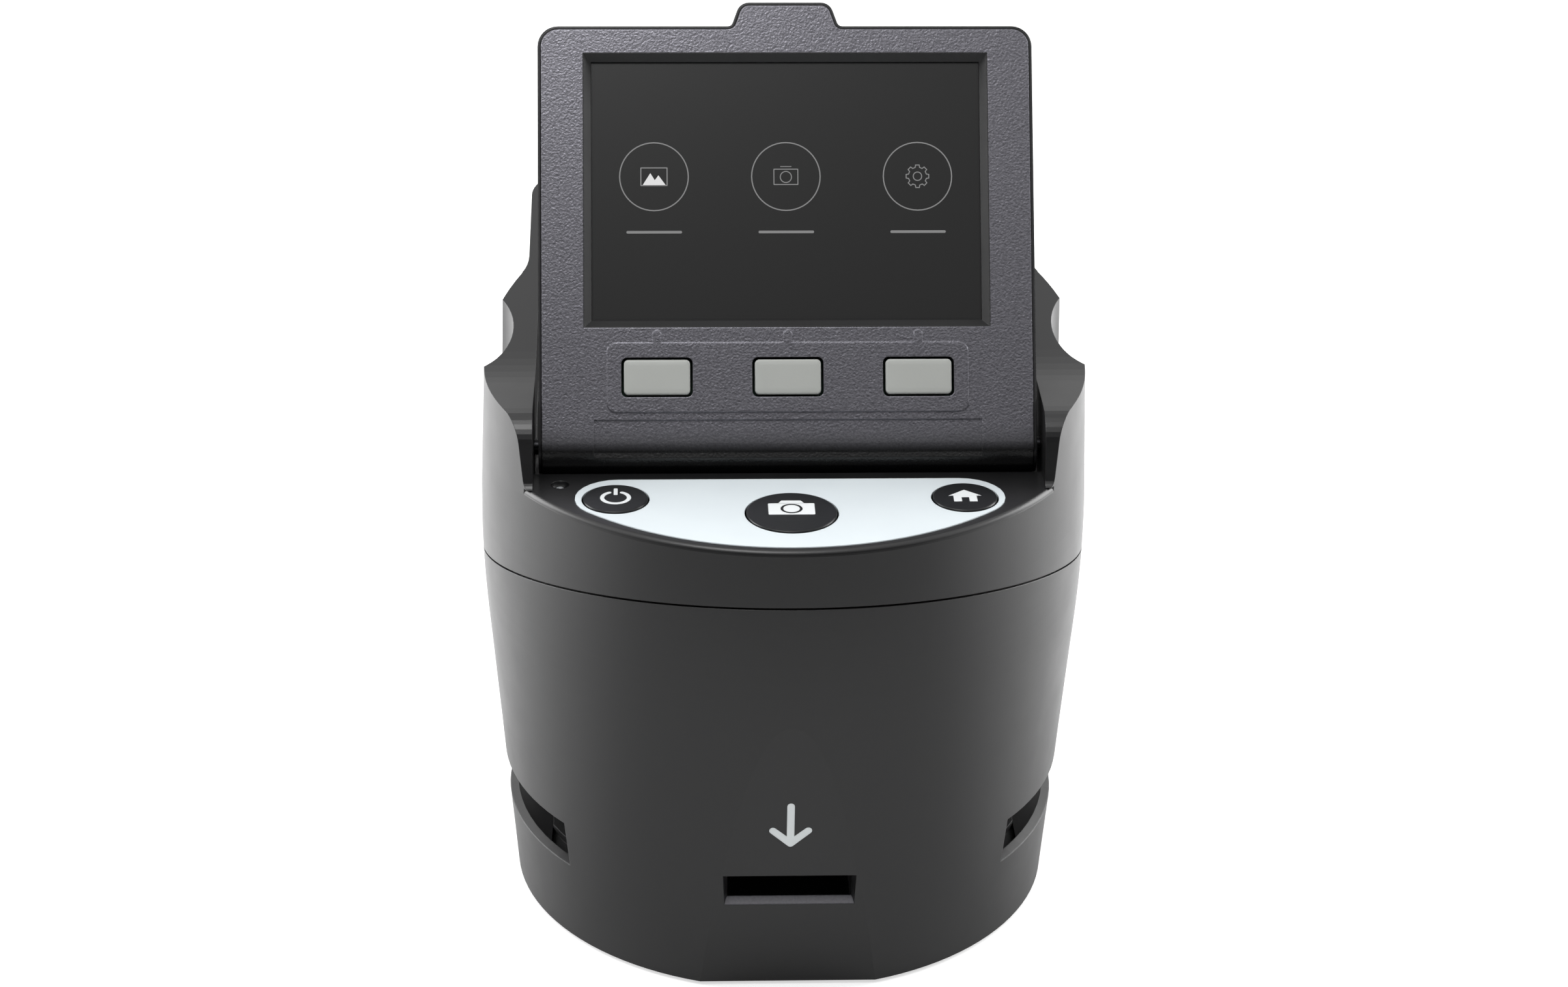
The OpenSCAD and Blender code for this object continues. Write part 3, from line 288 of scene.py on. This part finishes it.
# The mask is glossy, and the glass cloth under it just shows as a fine diagonal weave.
weave_mm = 0.286
wave_rate = 10 / (2 * math.pi)                # how often the Wave node repeats at scale 1
mask, tree, shader, place = finish("green solder mask on glass fibre")
weave = add(tree, "ShaderNodeTexWave", {"Vector": place, "Scale": 1 / (weave_mm * MM * wave_rate),
                                        "Distortion": 0.6}, bands_direction="DIAGONAL")
shade = add(tree, "ShaderNodeMix", {BY: weave.outputs["Fac"], DARK: srgb("#0f4a2c"), PALE: srgb("#15573a")},
            data_type="RGBA")
feed(tree, shader, {"Base Color": shade.outputs[MIXED], "Roughness": 0.35, "IOR": 1.55})
dress(mask, "backlight_board", "sensor_board", "main_board", "button_board", "key_board")

# Epoxy is dull and slightly grey from the fine mould that it comes out of.
epoxy = moulded("moulded epoxy, chip black", "#1a1a1c", "#222224", roughness=0.55, grain_mm=0.15,
                depth_mm=0.008)
dress(epoxy, "board_chips", "deck_switches", "key_switches", "image_sensor")

# ---- Lens: coated glass elements in a turned aluminium barrel, black anodised against reflections.
# The barrel is pressed into the top of the gate's tower, under the sensor.


def clear(name, colour, ior, haze_mm, sharp, dull, more):
    """Glass or smooth plastic: one colour, with a gloss between sharp and dull from patch to patch."""
    material, tree, shader, place = finish(name)
    haze = add(tree, "ShaderNodeTexNoise", {"Vector": place, "Scale": 1 / (haze_mm * MM)})
    gloss = add(tree, "ShaderNodeMapRange", {"Value": haze.outputs["Fac"], "To Min": sharp, "To Max": dull})
    feed(tree, shader, {"Base Color": srgb(colour), "IOR": ior, "Roughness": gloss.outputs[0], **more})
    return material


# Anodising leaves a deep black with a satin glint; the turning marks are too fine to tell apart.
anodised = metal("black anodised aluminium, turned", "#161618", roughness=0.35, speckle_mm=0.2,
                 depth_mm=0.004)
dress(anodised, "lens_barrel")

# Polished glass shows only its sharp reflections, and the coating gives them a breath of blue.
optical = clear("coated optical glass", "#e8f4f6", 1.52, haze_mm=3.33, sharp=0.01, dull=0.04,
                more={"Transmission Weight": 1.0})
dress(optical, "lens_glass")

# ---- Sockets at the back: folded shells of nickel-plated sheet steel, soldered to the main board,
# with gilt contacts across the mouth: one row each, and two in the video socket.

# Nickel is warmer and brighter than zinc; gilt is a smooth, deep yellow.
nickel = metal("nickel-plated sheet steel", "#c4c2bc", roughness=0.25, speckle_mm=0.4, depth_mm=0.003)
dress(nickel, "usb_socket", "video_socket", "card_socket")
gilt = metal("gilt contact", "#d6ae5c", roughness=0.22, speckle_mm=0.3, depth_mm=0.002)

row_of_pads = bpy.data.node_groups.new("row_of_pads", "GeometryNodeTree")
sockets = row_of_pads.interface
sockets.new_socket("Geometry", in_out="OUTPUT", socket_type="NodeSocketGeometry")
count_in = sockets.new_socket("Count", in_out="INPUT", socket_type="NodeSocketInt").identifier
pitch_in = sockets.new_socket("Pitch", in_out="INPUT", socket_type="NodeSocketFloat").identifier
size_in = sockets.new_socket("Pad size", in_out="INPUT", socket_type="NodeSocketVector").identifier
finish_in = sockets.new_socket("Finish", in_out="INPUT", socket_type="NodeSocketMaterial").identifier
given = add(row_of_pads, "NodeGroupInput", {}).outputs
step = add(row_of_pads, "ShaderNodeCombineXYZ", {"X": given["Pitch"]})
line = add(row_of_pads, "GeometryNodeMeshLine", {"Count": given["Count"], "Offset": step.outputs[0]})
pad = add(row_of_pads, "GeometryNodeMeshCube", {"Size": given["Pad size"]})
pads = add(row_of_pads, "GeometryNodeInstanceOnPoints", {"Points": line.outputs[0],
                                                         "Instance": pad.outputs[0]})
solid = add(row_of_pads, "GeometryNodeRealizeInstances", {"Geometry": pads.outputs[0]})
gilded = add(row_of_pads, "GeometryNodeSetMaterial", {"Geometry": solid.outputs[0],
                                                      "Material": given["Finish"]})
add(row_of_pads, "NodeGroupOutput", {"Geometry": gilded.outputs[0]})


def contacts(name, socket, count, pitch, pad_size, up, inward):
    """A row of pads across a socket's middle: up from its floor, inward from its mouth, in millimetres."""
    maker = put(name + "_maker", bpy.data.meshes.new(name + "_maker"))
    row = maker.modifiers.new("row", "NODES")
    row.node_group = row_of_pads
    row[count_in] = count
    row[pitch_in] = pitch * MM
    row[size_in] = [side * MM for side in pad_size]
    row[finish_in] = gilt
    bpy.context.view_layer.update()
    mesh = bpy.data.meshes.new_from_object(maker.evaluated_get(bpy.context.evaluated_depsgraph_get()))
    bpy.data.objects.remove(maker)
    low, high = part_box(socket)
    first_x = (low.x + high.x - (count - 1) * pitch * MM) / 2
    middle_y = high.y - (inward + pad_size[1] / 2) * MM
    mesh.transform(Matrix.Translation((first_x, middle_y, low.z + up * MM)))
    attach(put(name, mesh), "housing")


contacts("usb_contacts", "usb_socket", count=4, pitch=1.2, pad_size=(0.7, 2.6, 0.08), up=1.78, inward=1.6)
contacts("card_contacts", "card_socket", count=8, pitch=2.7, pad_size=(1.2, 3.6, 0.12), up=2.9, inward=1.0)
video_pad = (0.36, 2.8, 0.08)
contacts("video_contacts_low", "video_socket", count=9, pitch=0.8, pad_size=video_pad, up=1.68, inward=1.6)
contacts("video_contacts_top", "video_socket", count=10, pitch=0.8, pad_size=video_pad, up=2.32, inward=1.6)

# ---- Status light: a clear acrylic pipe with a round end. It stands on the button board, over a
# lamp at its corner, and comes up into a dished hole in the deck.

# Clear acrylic picks up the dark around it and shows one small bright point.
acrylic = clear("clear acrylic, moulded", "#d6dadd", 1.49, haze_mm=1.11, sharp=0.05, dull=0.15,
                more={"Transmission Weight": 0.6})
dress(acrylic, "status_light")

# ---- Control overlay: half a millimetre of white polycarbonate, die-cut to its outline with three
# round holes, and stuck into a shallow seat in the deck.

# Its satin face shows no reflection, only a cool, even white.
polycarbonate = moulded("white polycarbonate, satin", "#d6dee2", "#dbe3e6", roughness=0.45, grain_mm=0.5,
                        depth_mm=0.003)
dress(polycarbonate, "control_overlay")

# ---- Round buttons: near-black satin ABS caps with white pad-printed signs: power, camera, house.
# Each is held by a flange under the deck and stands on its own switch.

ink_t, weld = 0.04, 0.0005                    # an ink skin's thickness; points this close become one
corner_steps = 6                              # of a rounded corner, which has one point more
flange, dome_drop, rim_drop, rim_w = 1.0, 0.02, 0.08, 0.6


def ring(cx, cy, r, start=0.0, end=360.0, steps=48):
    """Points on an arc, in millimetres and degrees; a whole turn leaves out its last point."""
    count = steps if abs(end - start) > 359.9 else steps + 1
    angles = [math.radians(start + (end - start) * i / steps) for i in range(count)]
    return [(cx + r * math.cos(a), cy + r * math.sin(a)) for a in angles]


def open_ring(r, half, start, end):
    """Outline of an arc drawn round the middle with a round-ended pen of the given half width."""
    head, tail = [(r * math.cos(math.radians(a)), r * math.sin(math.radians(a))) for a in (end, start)]
    return (ring(0, 0, r + half, start, end, 40) + ring(*head, half, end, end + 180, 8)[1:-1]
            + ring(0, 0, r - half, end, start, 40) + ring(*tail, half, start + 180, start + 360, 8)[1:-1])


def rounded(left, low, right, top, r):
    """Outline of a rectangle with round corners, from the top right corner on."""
    return (ring(right - r, top - r, r, 0, 90, corner_steps)
            + ring(left + r, top - r, r, 90, 180, corner_steps)
            + ring(left + r, low + r, r, 180, 270, corner_steps)
            + ring(right - r, low + r, r, 270, 360, corner_steps))


def printed(name, loops, place, material, body, thick=ink_t, dome=None):
    """A skin of print: closed loops in millimetres, filled even-odd, laid by a matrix. A dome gives
    the height of the ground at each distance from the middle."""
    curve = bpy.data.curves.new(name, "CURVE")
    curve.dimensions = "2D"
    curve.fill_mode = "BOTH"
    curve.extrude = thick / 2
    for loop in loops:
        spline = curve.splines.new("POLY")
        spline.points.add(len(loop) - 1)
        for point, (x, y) in zip(spline.points, loop):
            point.co = (x, y, 0, 1)
        spline.use_cyclic_u = True
    flat = put(name + "_flat", curve)
    bpy.context.view_layer.update()
    mesh = bpy.data.meshes.new_from_object(flat)
    bpy.data.objects.remove(flat)
    shape = bmesh.new()
    shape.from_mesh(mesh)
    bpy.data.meshes.remove(mesh)
    bmesh.ops.remove_doubles(shape, verts=shape.verts, dist=weld)
    for vert in shape.verts:
        ground = dome(math.hypot(vert.co.x, vert.co.y)) if dome else 0.0
        vert.co.z += thick / 2 + ground
        vert.co = place @ (vert.co * MM)
    return piece_of(name, shape, body, material)


def cap_top(node):
    """A matrix at the middle of a cap's top, and the height of its shallow dome at a radius."""
    low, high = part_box(node)
    middle = (low + high) / 2
    half = ((high.x - low.x) / 2 / MM - flange) / 2

    def dome(r):
        return -dome_drop * min(r / half, 1) - rim_drop * max(0, (r - half) / (half - rim_w))
    return Matrix.Translation((middle.x, middle.y, high.z)), dome


# The caps are a little glossier than the deck, and the ink on them is flat and chalky.
button_abs = moulded("near-black ABS, satin", "#0d0f11", "#111315", roughness=0.33, grain_mm=0.3,
                     depth_mm=0.004, specular=0.35)
dress(button_abs, "power_button", "capture_button", "home_button")
white_ink = moulded("white pad-print ink", "#dfe3e4", "#e8ebec", roughness=0.55, grain_mm=0.2,
                    depth_mm=0.003)

arc_r, arc_half, gap_deg = 2.5, 0.4, 28       # the power sign's ring is open this far beside its bar
power_loops = [open_ring(arc_r, arc_half, 90 + gap_deg, 450 - gap_deg), rounded(-0.38, 1.15, 0.38, 4.1, 0.2)]
case = rounded(-4.33, -1.4, 4.33, 3.5, 0.3)
hump = [(2.4, 3.5), (1.8, 4.7), (-1.8, 4.7), (-2.4, 3.5)]
lens_v, lens_outer_r, lens_inner_r = 1.15, 2.05, 1.55
camera_loops = [case[:corner_steps + 1] + hump + case[corner_steps + 1:],
                ring(0, lens_v, lens_outer_r), ring(0, lens_v, lens_inner_r)]
house_loops = [[(0, 2.7), (3.1, 0.1), (2.2, 0.1), (2.2, -2.4), (0.7, -2.4), (0.7, -0.6), (-0.7, -0.6),
                (-0.7, -2.4), (-2.2, -2.4), (-2.2, 0.1), (-3.1, 0.1)]]
for sign, loops, button in (("power_sign", power_loops, "power_button"),
                            ("camera_sign", camera_loops, "capture_button"),
                            ("house_sign", house_loops, "home_button")):
    place, dome = cap_top(button)
    printed(sign, loops, place, white_ink, button, dome=dome)

# ---- Arrow: pale grey pad print with round ends on the leaning front flat, above the window that
# it points down to.

half_stroke, reach, barb, length = 0.72, 3.35, 3.1, 8.8
arrow_tip = 34.48                             # up the flat from the table
crook = half_stroke * (1 + math.sqrt(2))      # where a barb at 45 degrees meets the shaft
arrow = (ring(0, length, half_stroke, 0, 180, 10) + [(-half_stroke, crook)]
         + ring(-reach, barb, half_stroke, 45, 225, 10) + ring(0, 0, half_stroke, 225, 315, 6)
         + ring(reach, barb, half_stroke, -45, 135, 10) + [(half_stroke, crook)])
pale_ink = moulded("pale grey pad-print ink", "#e0e6e8", "#e8eded", roughness=0.55, grain_mm=0.2,
                   depth_mm=0.003)
printed("film_arrow", [arrow], front @ Matrix.Translation((0, arrow_tip * MM, 0)), pale_ink, "housing")

# ---- Hinge: two ground steel pins pressed into the housing's side walls. They turn in brass sleeves,
# pressed into the screen's barrel, that grip them so that the screen stays where it is put.

# Blackened steel keeps a low metal glint; brass shows only at the barrel's ends.
blackened = metal("blackened steel, ground", "#2c2c2e", roughness=0.3, speckle_mm=0.3, depth_mm=0.002)
dress(blackened, "hinge_pins")
brass = metal("plain brass", "#bfa064", roughness=0.3, speckle_mm=0.3, depth_mm=0.003)
dress(brass, "friction_sleeves")

# ---- Screen unit: a bezel of flake-grey ABS with a coarse spark-eroded grain, snapped and screwed
# onto a smooth black back cover that shows as a thin dark rim. Towards the hinge barrel the bezel
# is painted black, a painted shade where the barrel turns away from the light.

hinge = next(joint for joint in frame["joints"] if joint["name"] == "screen_hinge")
tilt = math.radians(60)                       # the open screen to the table
# Up the face from the hinge, the painted shade is full at the first height and gone at the second.
full_shade_v, no_shade_v = -1.5, 3.5                 # up the face from the hinge: the change's start and end
flake_metal = 0.9                             # how metallic the flakes make the face

# Metal flakes make the bezel bright where it mirrors the light and dark elsewhere, and the grain
# breaks that up into sparks some 0.4 mm wide.
flake_abs = moulded("flake-grey ABS, coarse spark-eroded", "#5d5c62", "#8d8c93", roughness=0.3,
                    grain_mm=0.42, depth_mm=0.055, mottle_mm=0.45, edge_mm=0.3)
tree = flake_abs.node_tree
shader = tree.nodes["Principled BSDF"]
# Towards the barrel the face is painted black and loses its metal: a painted shade.
on_face = add(tree, "ShaderNodeMapping", {"Vector": tree.nodes["Texture Coordinate"].outputs["Object"],
                                          "Location": hinge["pos_m"], "Rotation": (tilt, 0, 0)},
              vector_type="TEXTURE")
up_face = add(tree, "ShaderNodeSeparateXYZ", {"Vector": on_face.outputs[0]})
unshaded = add(tree, "ShaderNodeMapRange", {"Value": up_face.outputs["Y"], "From Min": full_shade_v * MM,
                                          "From Max": no_shade_v * MM})
gleam = add(tree, "ShaderNodeMath", {0: unshaded.outputs[0], 1: flake_metal}, operation="MULTIPLY")
grey = shader.inputs["Base Color"].links[0].from_socket
shade = add(tree, "ShaderNodeMix", {BY: unshaded.outputs[0], DARK: srgb("#0b0b0c"), PALE: grey},
            data_type="RGBA")
feed(tree, shader, {"Metallic": gleam.outputs[0], "Base Color": shade.outputs[MIXED]})
dress(flake_abs, "screen_bezel")

# The back cover is polished in the tool, and its rounded rim runs as a dark line with a thin glint.
smooth_abs = moulded("black ABS, smooth", "#161617", "#1a1a1c", roughness=0.3, grain_mm=0.3,
                     depth_mm=0.004, edge_mm=0.5)
dress(smooth_abs, "screen_back")

# ---- Display: a panel in a plain sheet-steel frame behind a dark hard-coated window, with a mitred
# black surround that steps down to the glass from the bezel's opening.

on_screen = Matrix.Translation(hinge["pos_m"]) @ Matrix.Rotation(tilt, 4, "X")
opening_w, opening_h = 77.4, 52.9
opening_v = 22.0                              # the opening's lower edge above the hinge
top_n, foot_n, step_n, glass_n = 5.72, 4.2, 3.68, 3.65      # heights over the hinge, from the face down
fit, bevel_w, back_w = 0.02, 1.55, 0.3        # how far in from the opening each edge of the surround lies


def inside(margin):
    """The opening's left, low, right and top edges, each moved in by a margin."""
    return (margin - opening_w / 2, opening_v + margin,
            opening_w / 2 - margin, opening_v + opening_h - margin)


def on_glass(x, v, lift=0.0):
    """A matrix on the window's face: x from the middle, v above the opening's lower edge."""
    return on_screen @ Matrix.Translation(Vector((x, opening_v + v, glass_n + lift)) * MM)


steel = metal("plain sheet steel", "#a8a8ac", roughness=0.35, speckle_mm=0.5, depth_mm=0.003)
dress(steel, "display_panel")

# The hard coat is neither matt nor mirror: it shows the bright room as a grey veil.
coated = clear("dark hard-coated window", "#0b0b0c", 1.5, haze_mm=16.67, sharp=0.22, dull=0.3,
               more={"Coat Weight": 0.3})
dress(coated, "display_window")

# The surround is as black as the border of the display, so that the two run into each other.
satin_abs = moulded("black ABS, satin", "#0b0b0c", "#0f0f10", roughness=0.45, grain_mm=0.3, depth_mm=0.006)
mitred("display_surround", [(inside(fit), top_n), (inside(bevel_w), foot_n),
                            (inside(bevel_w), step_n), (inside(back_w), step_n)],
       on_screen, "screen", satin_abs)

# ---- Display's picture: a lit field, a shade paler than the border round it, with three menu signs
# in thin grey lines, each in a ring over a bar: a picture, a camera and a gear.

film_t = 0.02                                 # thickness drawn for a lit layer
field = (-36.8, 1.94, 36.8, 51.03)            # left, low, right, top, up from the opening's lower edge
signs_v, signs_pitch = 29.3, 25.2
ring_r, ring_half = 6.55, 0.11
bar_drop, bar_half_w, bar_half_h = 10.7, 5.3, 0.25


def glowing(name, colour, other):
    """What the lit panel shows: its own light, which drifts a little over the picture."""
    drift_mm = 71.4
    material, tree, shader, place = finish(name)
    drift = add(tree, "ShaderNodeTexNoise", {"Vector": place, "Scale": 1 / (drift_mm * MM), "Detail": 1.0})
    shade = add(tree, "ShaderNodeMix", {BY: drift.outputs["Fac"], DARK: srgb(colour), PALE: srgb(other)},
                data_type="RGBA")
    feed(tree, shader, {"Base Color": srgb("#050505"), "Roughness": 0.3, "IOR": 1.5,
                        "Emission Color": shade.outputs[MIXED], "Emission Strength": 1.0})
    return material


# A liquid crystal panel's black is never quite black, and its light is even but for a slow drift.
dark_field = glowing("lit display, dark field", "#0d0d0d", "#111111")
grey_line = glowing("lit display, grey line", "#7c7c7c", "#848484")
white_fill = glowing("lit display, white", "#d8d8d8", "#e0e0e0")


def shown(name, loops, x, v, material=grey_line, layer=1):
    """A sign on the lit field, its middle at x and v, on a layer above it."""
    printed(name, loops, on_glass(x, v, layer * film_t), material, "screen", thick=film_t)


def gear_teeth(count, root_r, tip_r, root_deg, tip_deg):
    """Outline of a gear: each tooth has two points at its root and two at its tip."""
    points = []
    for tooth in range(count):
        middle = 90 + tooth * 360 / count
        for away, r in ((-root_deg, root_r), (-tip_deg, tip_r), (tip_deg, tip_r), (root_deg, root_r)):
            angle = math.radians(middle + away)
            points.append((r * math.cos(angle), r * math.sin(angle)))
    return points


def drawn(points, half):
    """The outer and inner edge of a line of the given half width along a closed outline."""
    loops = []
    for side in (half, -half):
        loop = []
        for i, point in enumerate(points):
            here = Vector(point)
            coming = (here - Vector(points[i - 1])).normalized()
            going = (Vector(points[(i + 1) % len(points)]) - here).normalized()
            bend = (coming + going).normalized()
            out = Vector((bend.y, -bend.x))
            stretch = max(0.5, out.dot(Vector((going.y, -going.x))))
            loop.append(tuple(here + out * side / stretch))
        loops.append(loop)
    return loops


lit_field = printed("lit_field", [rounded(*field, 0.2)], on_glass(0, 0), dark_field, "screen", thick=film_t)
for i in (-1, 0, 1):
    shown("sign_ring_%d" % (i + 2), [ring(0, 0, ring_r + ring_half), ring(0, 0, ring_r - ring_half)],
          i * signs_pitch, signs_v)
    shown("sign_bar_%d" % (i + 2), [rounded(-bar_half_w, -bar_half_h, bar_half_w, bar_half_h, 0.24)],
          i * signs_pitch, signs_v - bar_drop)

picture_x, gear_x = -signs_pitch, signs_pitch
shown("picture_frame", [rounded(-2.6, -1.8, 2.6, 1.8, 0.15), rounded(-2.4, -1.6, 2.4, 1.6, 0.1)],
      picture_x, signs_v)
shown("picture_hills", [[(-2.15, -1.6), (-0.7, 0.68), (0.15, -0.68), (0.85, 0.26), (2.2, -1.6)]],
      picture_x, signs_v, white_fill, layer=2)
shown("camera_outline", [rounded(-2.38, -1.65, 2.38, 1.5, 0.15), rounded(-2.2, -1.47, 2.2, 1.32, 0.1),
                         ring(0, -0.1, 1.16), ring(0, -0.1, 0.98), rounded(-1.08, 1.85, 1.08, 2.0, 0.07)],
      0, signs_v)
teeth = gear_teeth(8, root_r=1.75, tip_r=2.2, root_deg=14, tip_deg=9)
shown("gear_outline", drawn(teeth, 0.09) + [ring(0, 0, 0.9), ring(0, 0, 0.72)], gear_x, signs_v)

# ---- Screen keys: three light grey satin ABS caps with rounded edges, each on its own switch. They
# stand a little out of the raised field, a good third of a millimetre clear of their holes.

key_v, key_pitch = 12.5, 24.8
key_half_w, key_half_h, key_corner = 6.27, 3.32, 0.85
cap_levels = ((3.8, 0.0), (6.05, 0.0), (6.25, 0.06), (6.38, 0.18), (6.42, 0.34), (6.44, 1.2))

# The caps' fine satin lights up evenly, and their rounded edge draws a soft line round each.
key_abs = moulded("light grey ABS, satin", "#a6a8a4", "#acaeaa", roughness=0.4, grain_mm=0.5, depth_mm=0.01)


def cushion(name, node, x):
    """A cap that stands for its CAD node, in levels: each a height over the hinge and an inset."""
    shape = bmesh.new()
    rings = []
    for height, inset in cap_levels:
        half_w, half_h = key_half_w - inset, key_half_h - inset
        outline = rounded(-half_w, -half_h, half_w, half_h, max(0.1, key_corner - inset))
        rings.append([shape.verts.new(on_screen @ (Vector((x + px, key_v + py, height)) * MM))
                      for px, py in outline])
    skinned(shape, rings, closed=False)
    for side in shape.faces:
        side.smooth = len(side.verts) == 4
    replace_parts(piece_of(name, shape, node, key_abs), node)


cushion("left_key_cap", "left_key", -key_pitch)
cushion("middle_key_cap", "middle_key", 0)
cushion("right_key_cap", "right_key", key_pitch)

# ---- Table: a sweep of white paper under the scanner, four metres each way. It isn't part of the
# object, and it keeps the object's shadow.

A, B = 2, 3                                   # a number Mix node's inputs, by number
half_table = 4.0
floor_glow = 0.6                              # brings the lit paper up to white for the camera
back_glow, back_reach, side_share = 0.95, 0.2, 0.8

table_mesh = bpy.data.meshes.new("table_top")
corners = [(x * half_table, y * half_table, 0) for x, y in ((-1, -1), (1, -1), (1, 1), (-1, 1))]
table_mesh.from_pydata(corners, [], [(0, 1, 2, 3)])
table = put("table_top", table_mesh)

# Matt paper. In the housings' gloss it shows bright behind the object and to its sides, and dark in
# front, where a studio has no light.
paper, tree, shader, place = finish("white paper sweep")
feed(tree, shader, {"Base Color": srgb("#cccccc"), "Roughness": 0.9})
seen = add(tree, "ShaderNodeLightPath", {}).outputs
at = add(tree, "ShaderNodeSeparateXYZ", {"Vector": place}).outputs
aside = add(tree, "ShaderNodeMath", {0: at["X"]}, operation="ABSOLUTE")
away = add(tree, "ShaderNodeMath", {0: aside.outputs[0], 1: side_share, 2: at["Y"]},
           operation="MULTIPLY_ADD")
lit_back = add(tree, "ShaderNodeMapRange", {"Value": away.outputs[0], "From Max": back_reach,
                                            "To Max": back_glow})
mirrored = add(tree, "ShaderNodeMath", {0: seen["Is Glossy Ray"], 1: lit_back.outputs[0]},
               operation="MULTIPLY")
level = add(tree, "ShaderNodeMix", {BY: seen["Is Camera Ray"], A: mirrored.outputs[0], B: floor_glow})
glow = add(tree, "ShaderNodeEmission", {"Color": (1, 1, 1, 1), "Strength": level.outputs[0]})
both = add(tree, "ShaderNodeAddShader", {0: shader.outputs[0], 1: glow.outputs[0]})
feed(tree, tree.nodes["Material Output"], {"Surface": both.outputs[0]})
table_mesh.materials.append(paper)

# ---- Light: a white studio all round at half strength, plain white to the camera, with a soft box
# over the front and one on each side behind the object.

room_glow = 0.5
back_and_up = (0, 1, 0.8)                     # where the studio's reflection is bright
dark_to, bright_from, front_glow = -0.55, 0.15, 0.02

studio = bpy.data.worlds.new("white studio")
bpy.context.scene.world = studio
studio.use_nodes = True
tree = studio.node_tree
seen = add(tree, "ShaderNodeLightPath", {}).outputs
shiny = add(tree, "ShaderNodeMath", {0: seen["Is Glossy Ray"], 1: seen["Is Transmission Ray"]},
            operation="ADD", use_clamp=True)
direction = add(tree, "ShaderNodeTexCoord", {}).outputs["Generated"]
way = add(tree, "ShaderNodeVectorMath", {0: direction, 1: back_and_up}, operation="DOT_PRODUCT")
sweep = add(tree, "ShaderNodeMapRange", {"Value": way.outputs["Value"], "From Min": dark_to,
                                         "From Max": bright_from, "To Min": front_glow, "To Max": 1.0})
mirrored = add(tree, "ShaderNodeMix", {BY: shiny.outputs[0], A: room_glow, B: sweep.outputs[0]})
level = add(tree, "ShaderNodeMix", {BY: seen["Is Camera Ray"], A: mirrored.outputs[0], B: 1.0})
feed(tree, tree.nodes["Background"], {"Color": (1, 1, 1, 1), "Strength": level.outputs[0]})


def soft_box(name, place, aim, side, power):
    """A square area lamp, turned towards a point; metres and watts."""
    lamp = bpy.data.lights.new(name, "AREA")
    lamp.size, lamp.energy = side, power
    box = put(name, lamp)
    box.location = place
    box.rotation_mode = "QUATERNION"
    box.rotation_quaternion = (Vector(aim) - Vector(place)).to_track_quat("-Z", "Y")


soft_box("key_box", place=(-0.10, -0.18, 0.62), aim=(0, 0, 0.12), side=0.25, power=1.45)
soft_box("left_box", place=(-0.7, 0.3, 0.3), aim=(0, 0, 0), side=0.6, power=8.0)
soft_box("right_box", place=(0.7, 0.3, 0.3), aim=(0, 0, 0), side=0.6, power=8.0)

# ---- Camera: a short telephoto in front of the object, a little left of its middle, looking down
# at it by 25 degrees and rolled by two thirds of a degree.

lens_mm, roll = 80.364, math.radians(0.655)
eye, aim = Vector((-0.02416, -0.6270, 0.3756)), Vector((0.000175, 0, 0.08144))

camera_data = bpy.data.cameras.new("camera")
camera_data.lens = lens_mm
camera = put("camera", camera_data)
camera.location = eye
camera.rotation_mode = "QUATERNION"
camera.rotation_quaternion = (aim - eye).to_track_quat("-Z", "Y") @ Quaternion((0, 0, 1), roll)
bpy.context.scene.camera = camera
bpy.context.scene.view_settings.view_transform = "Standard"
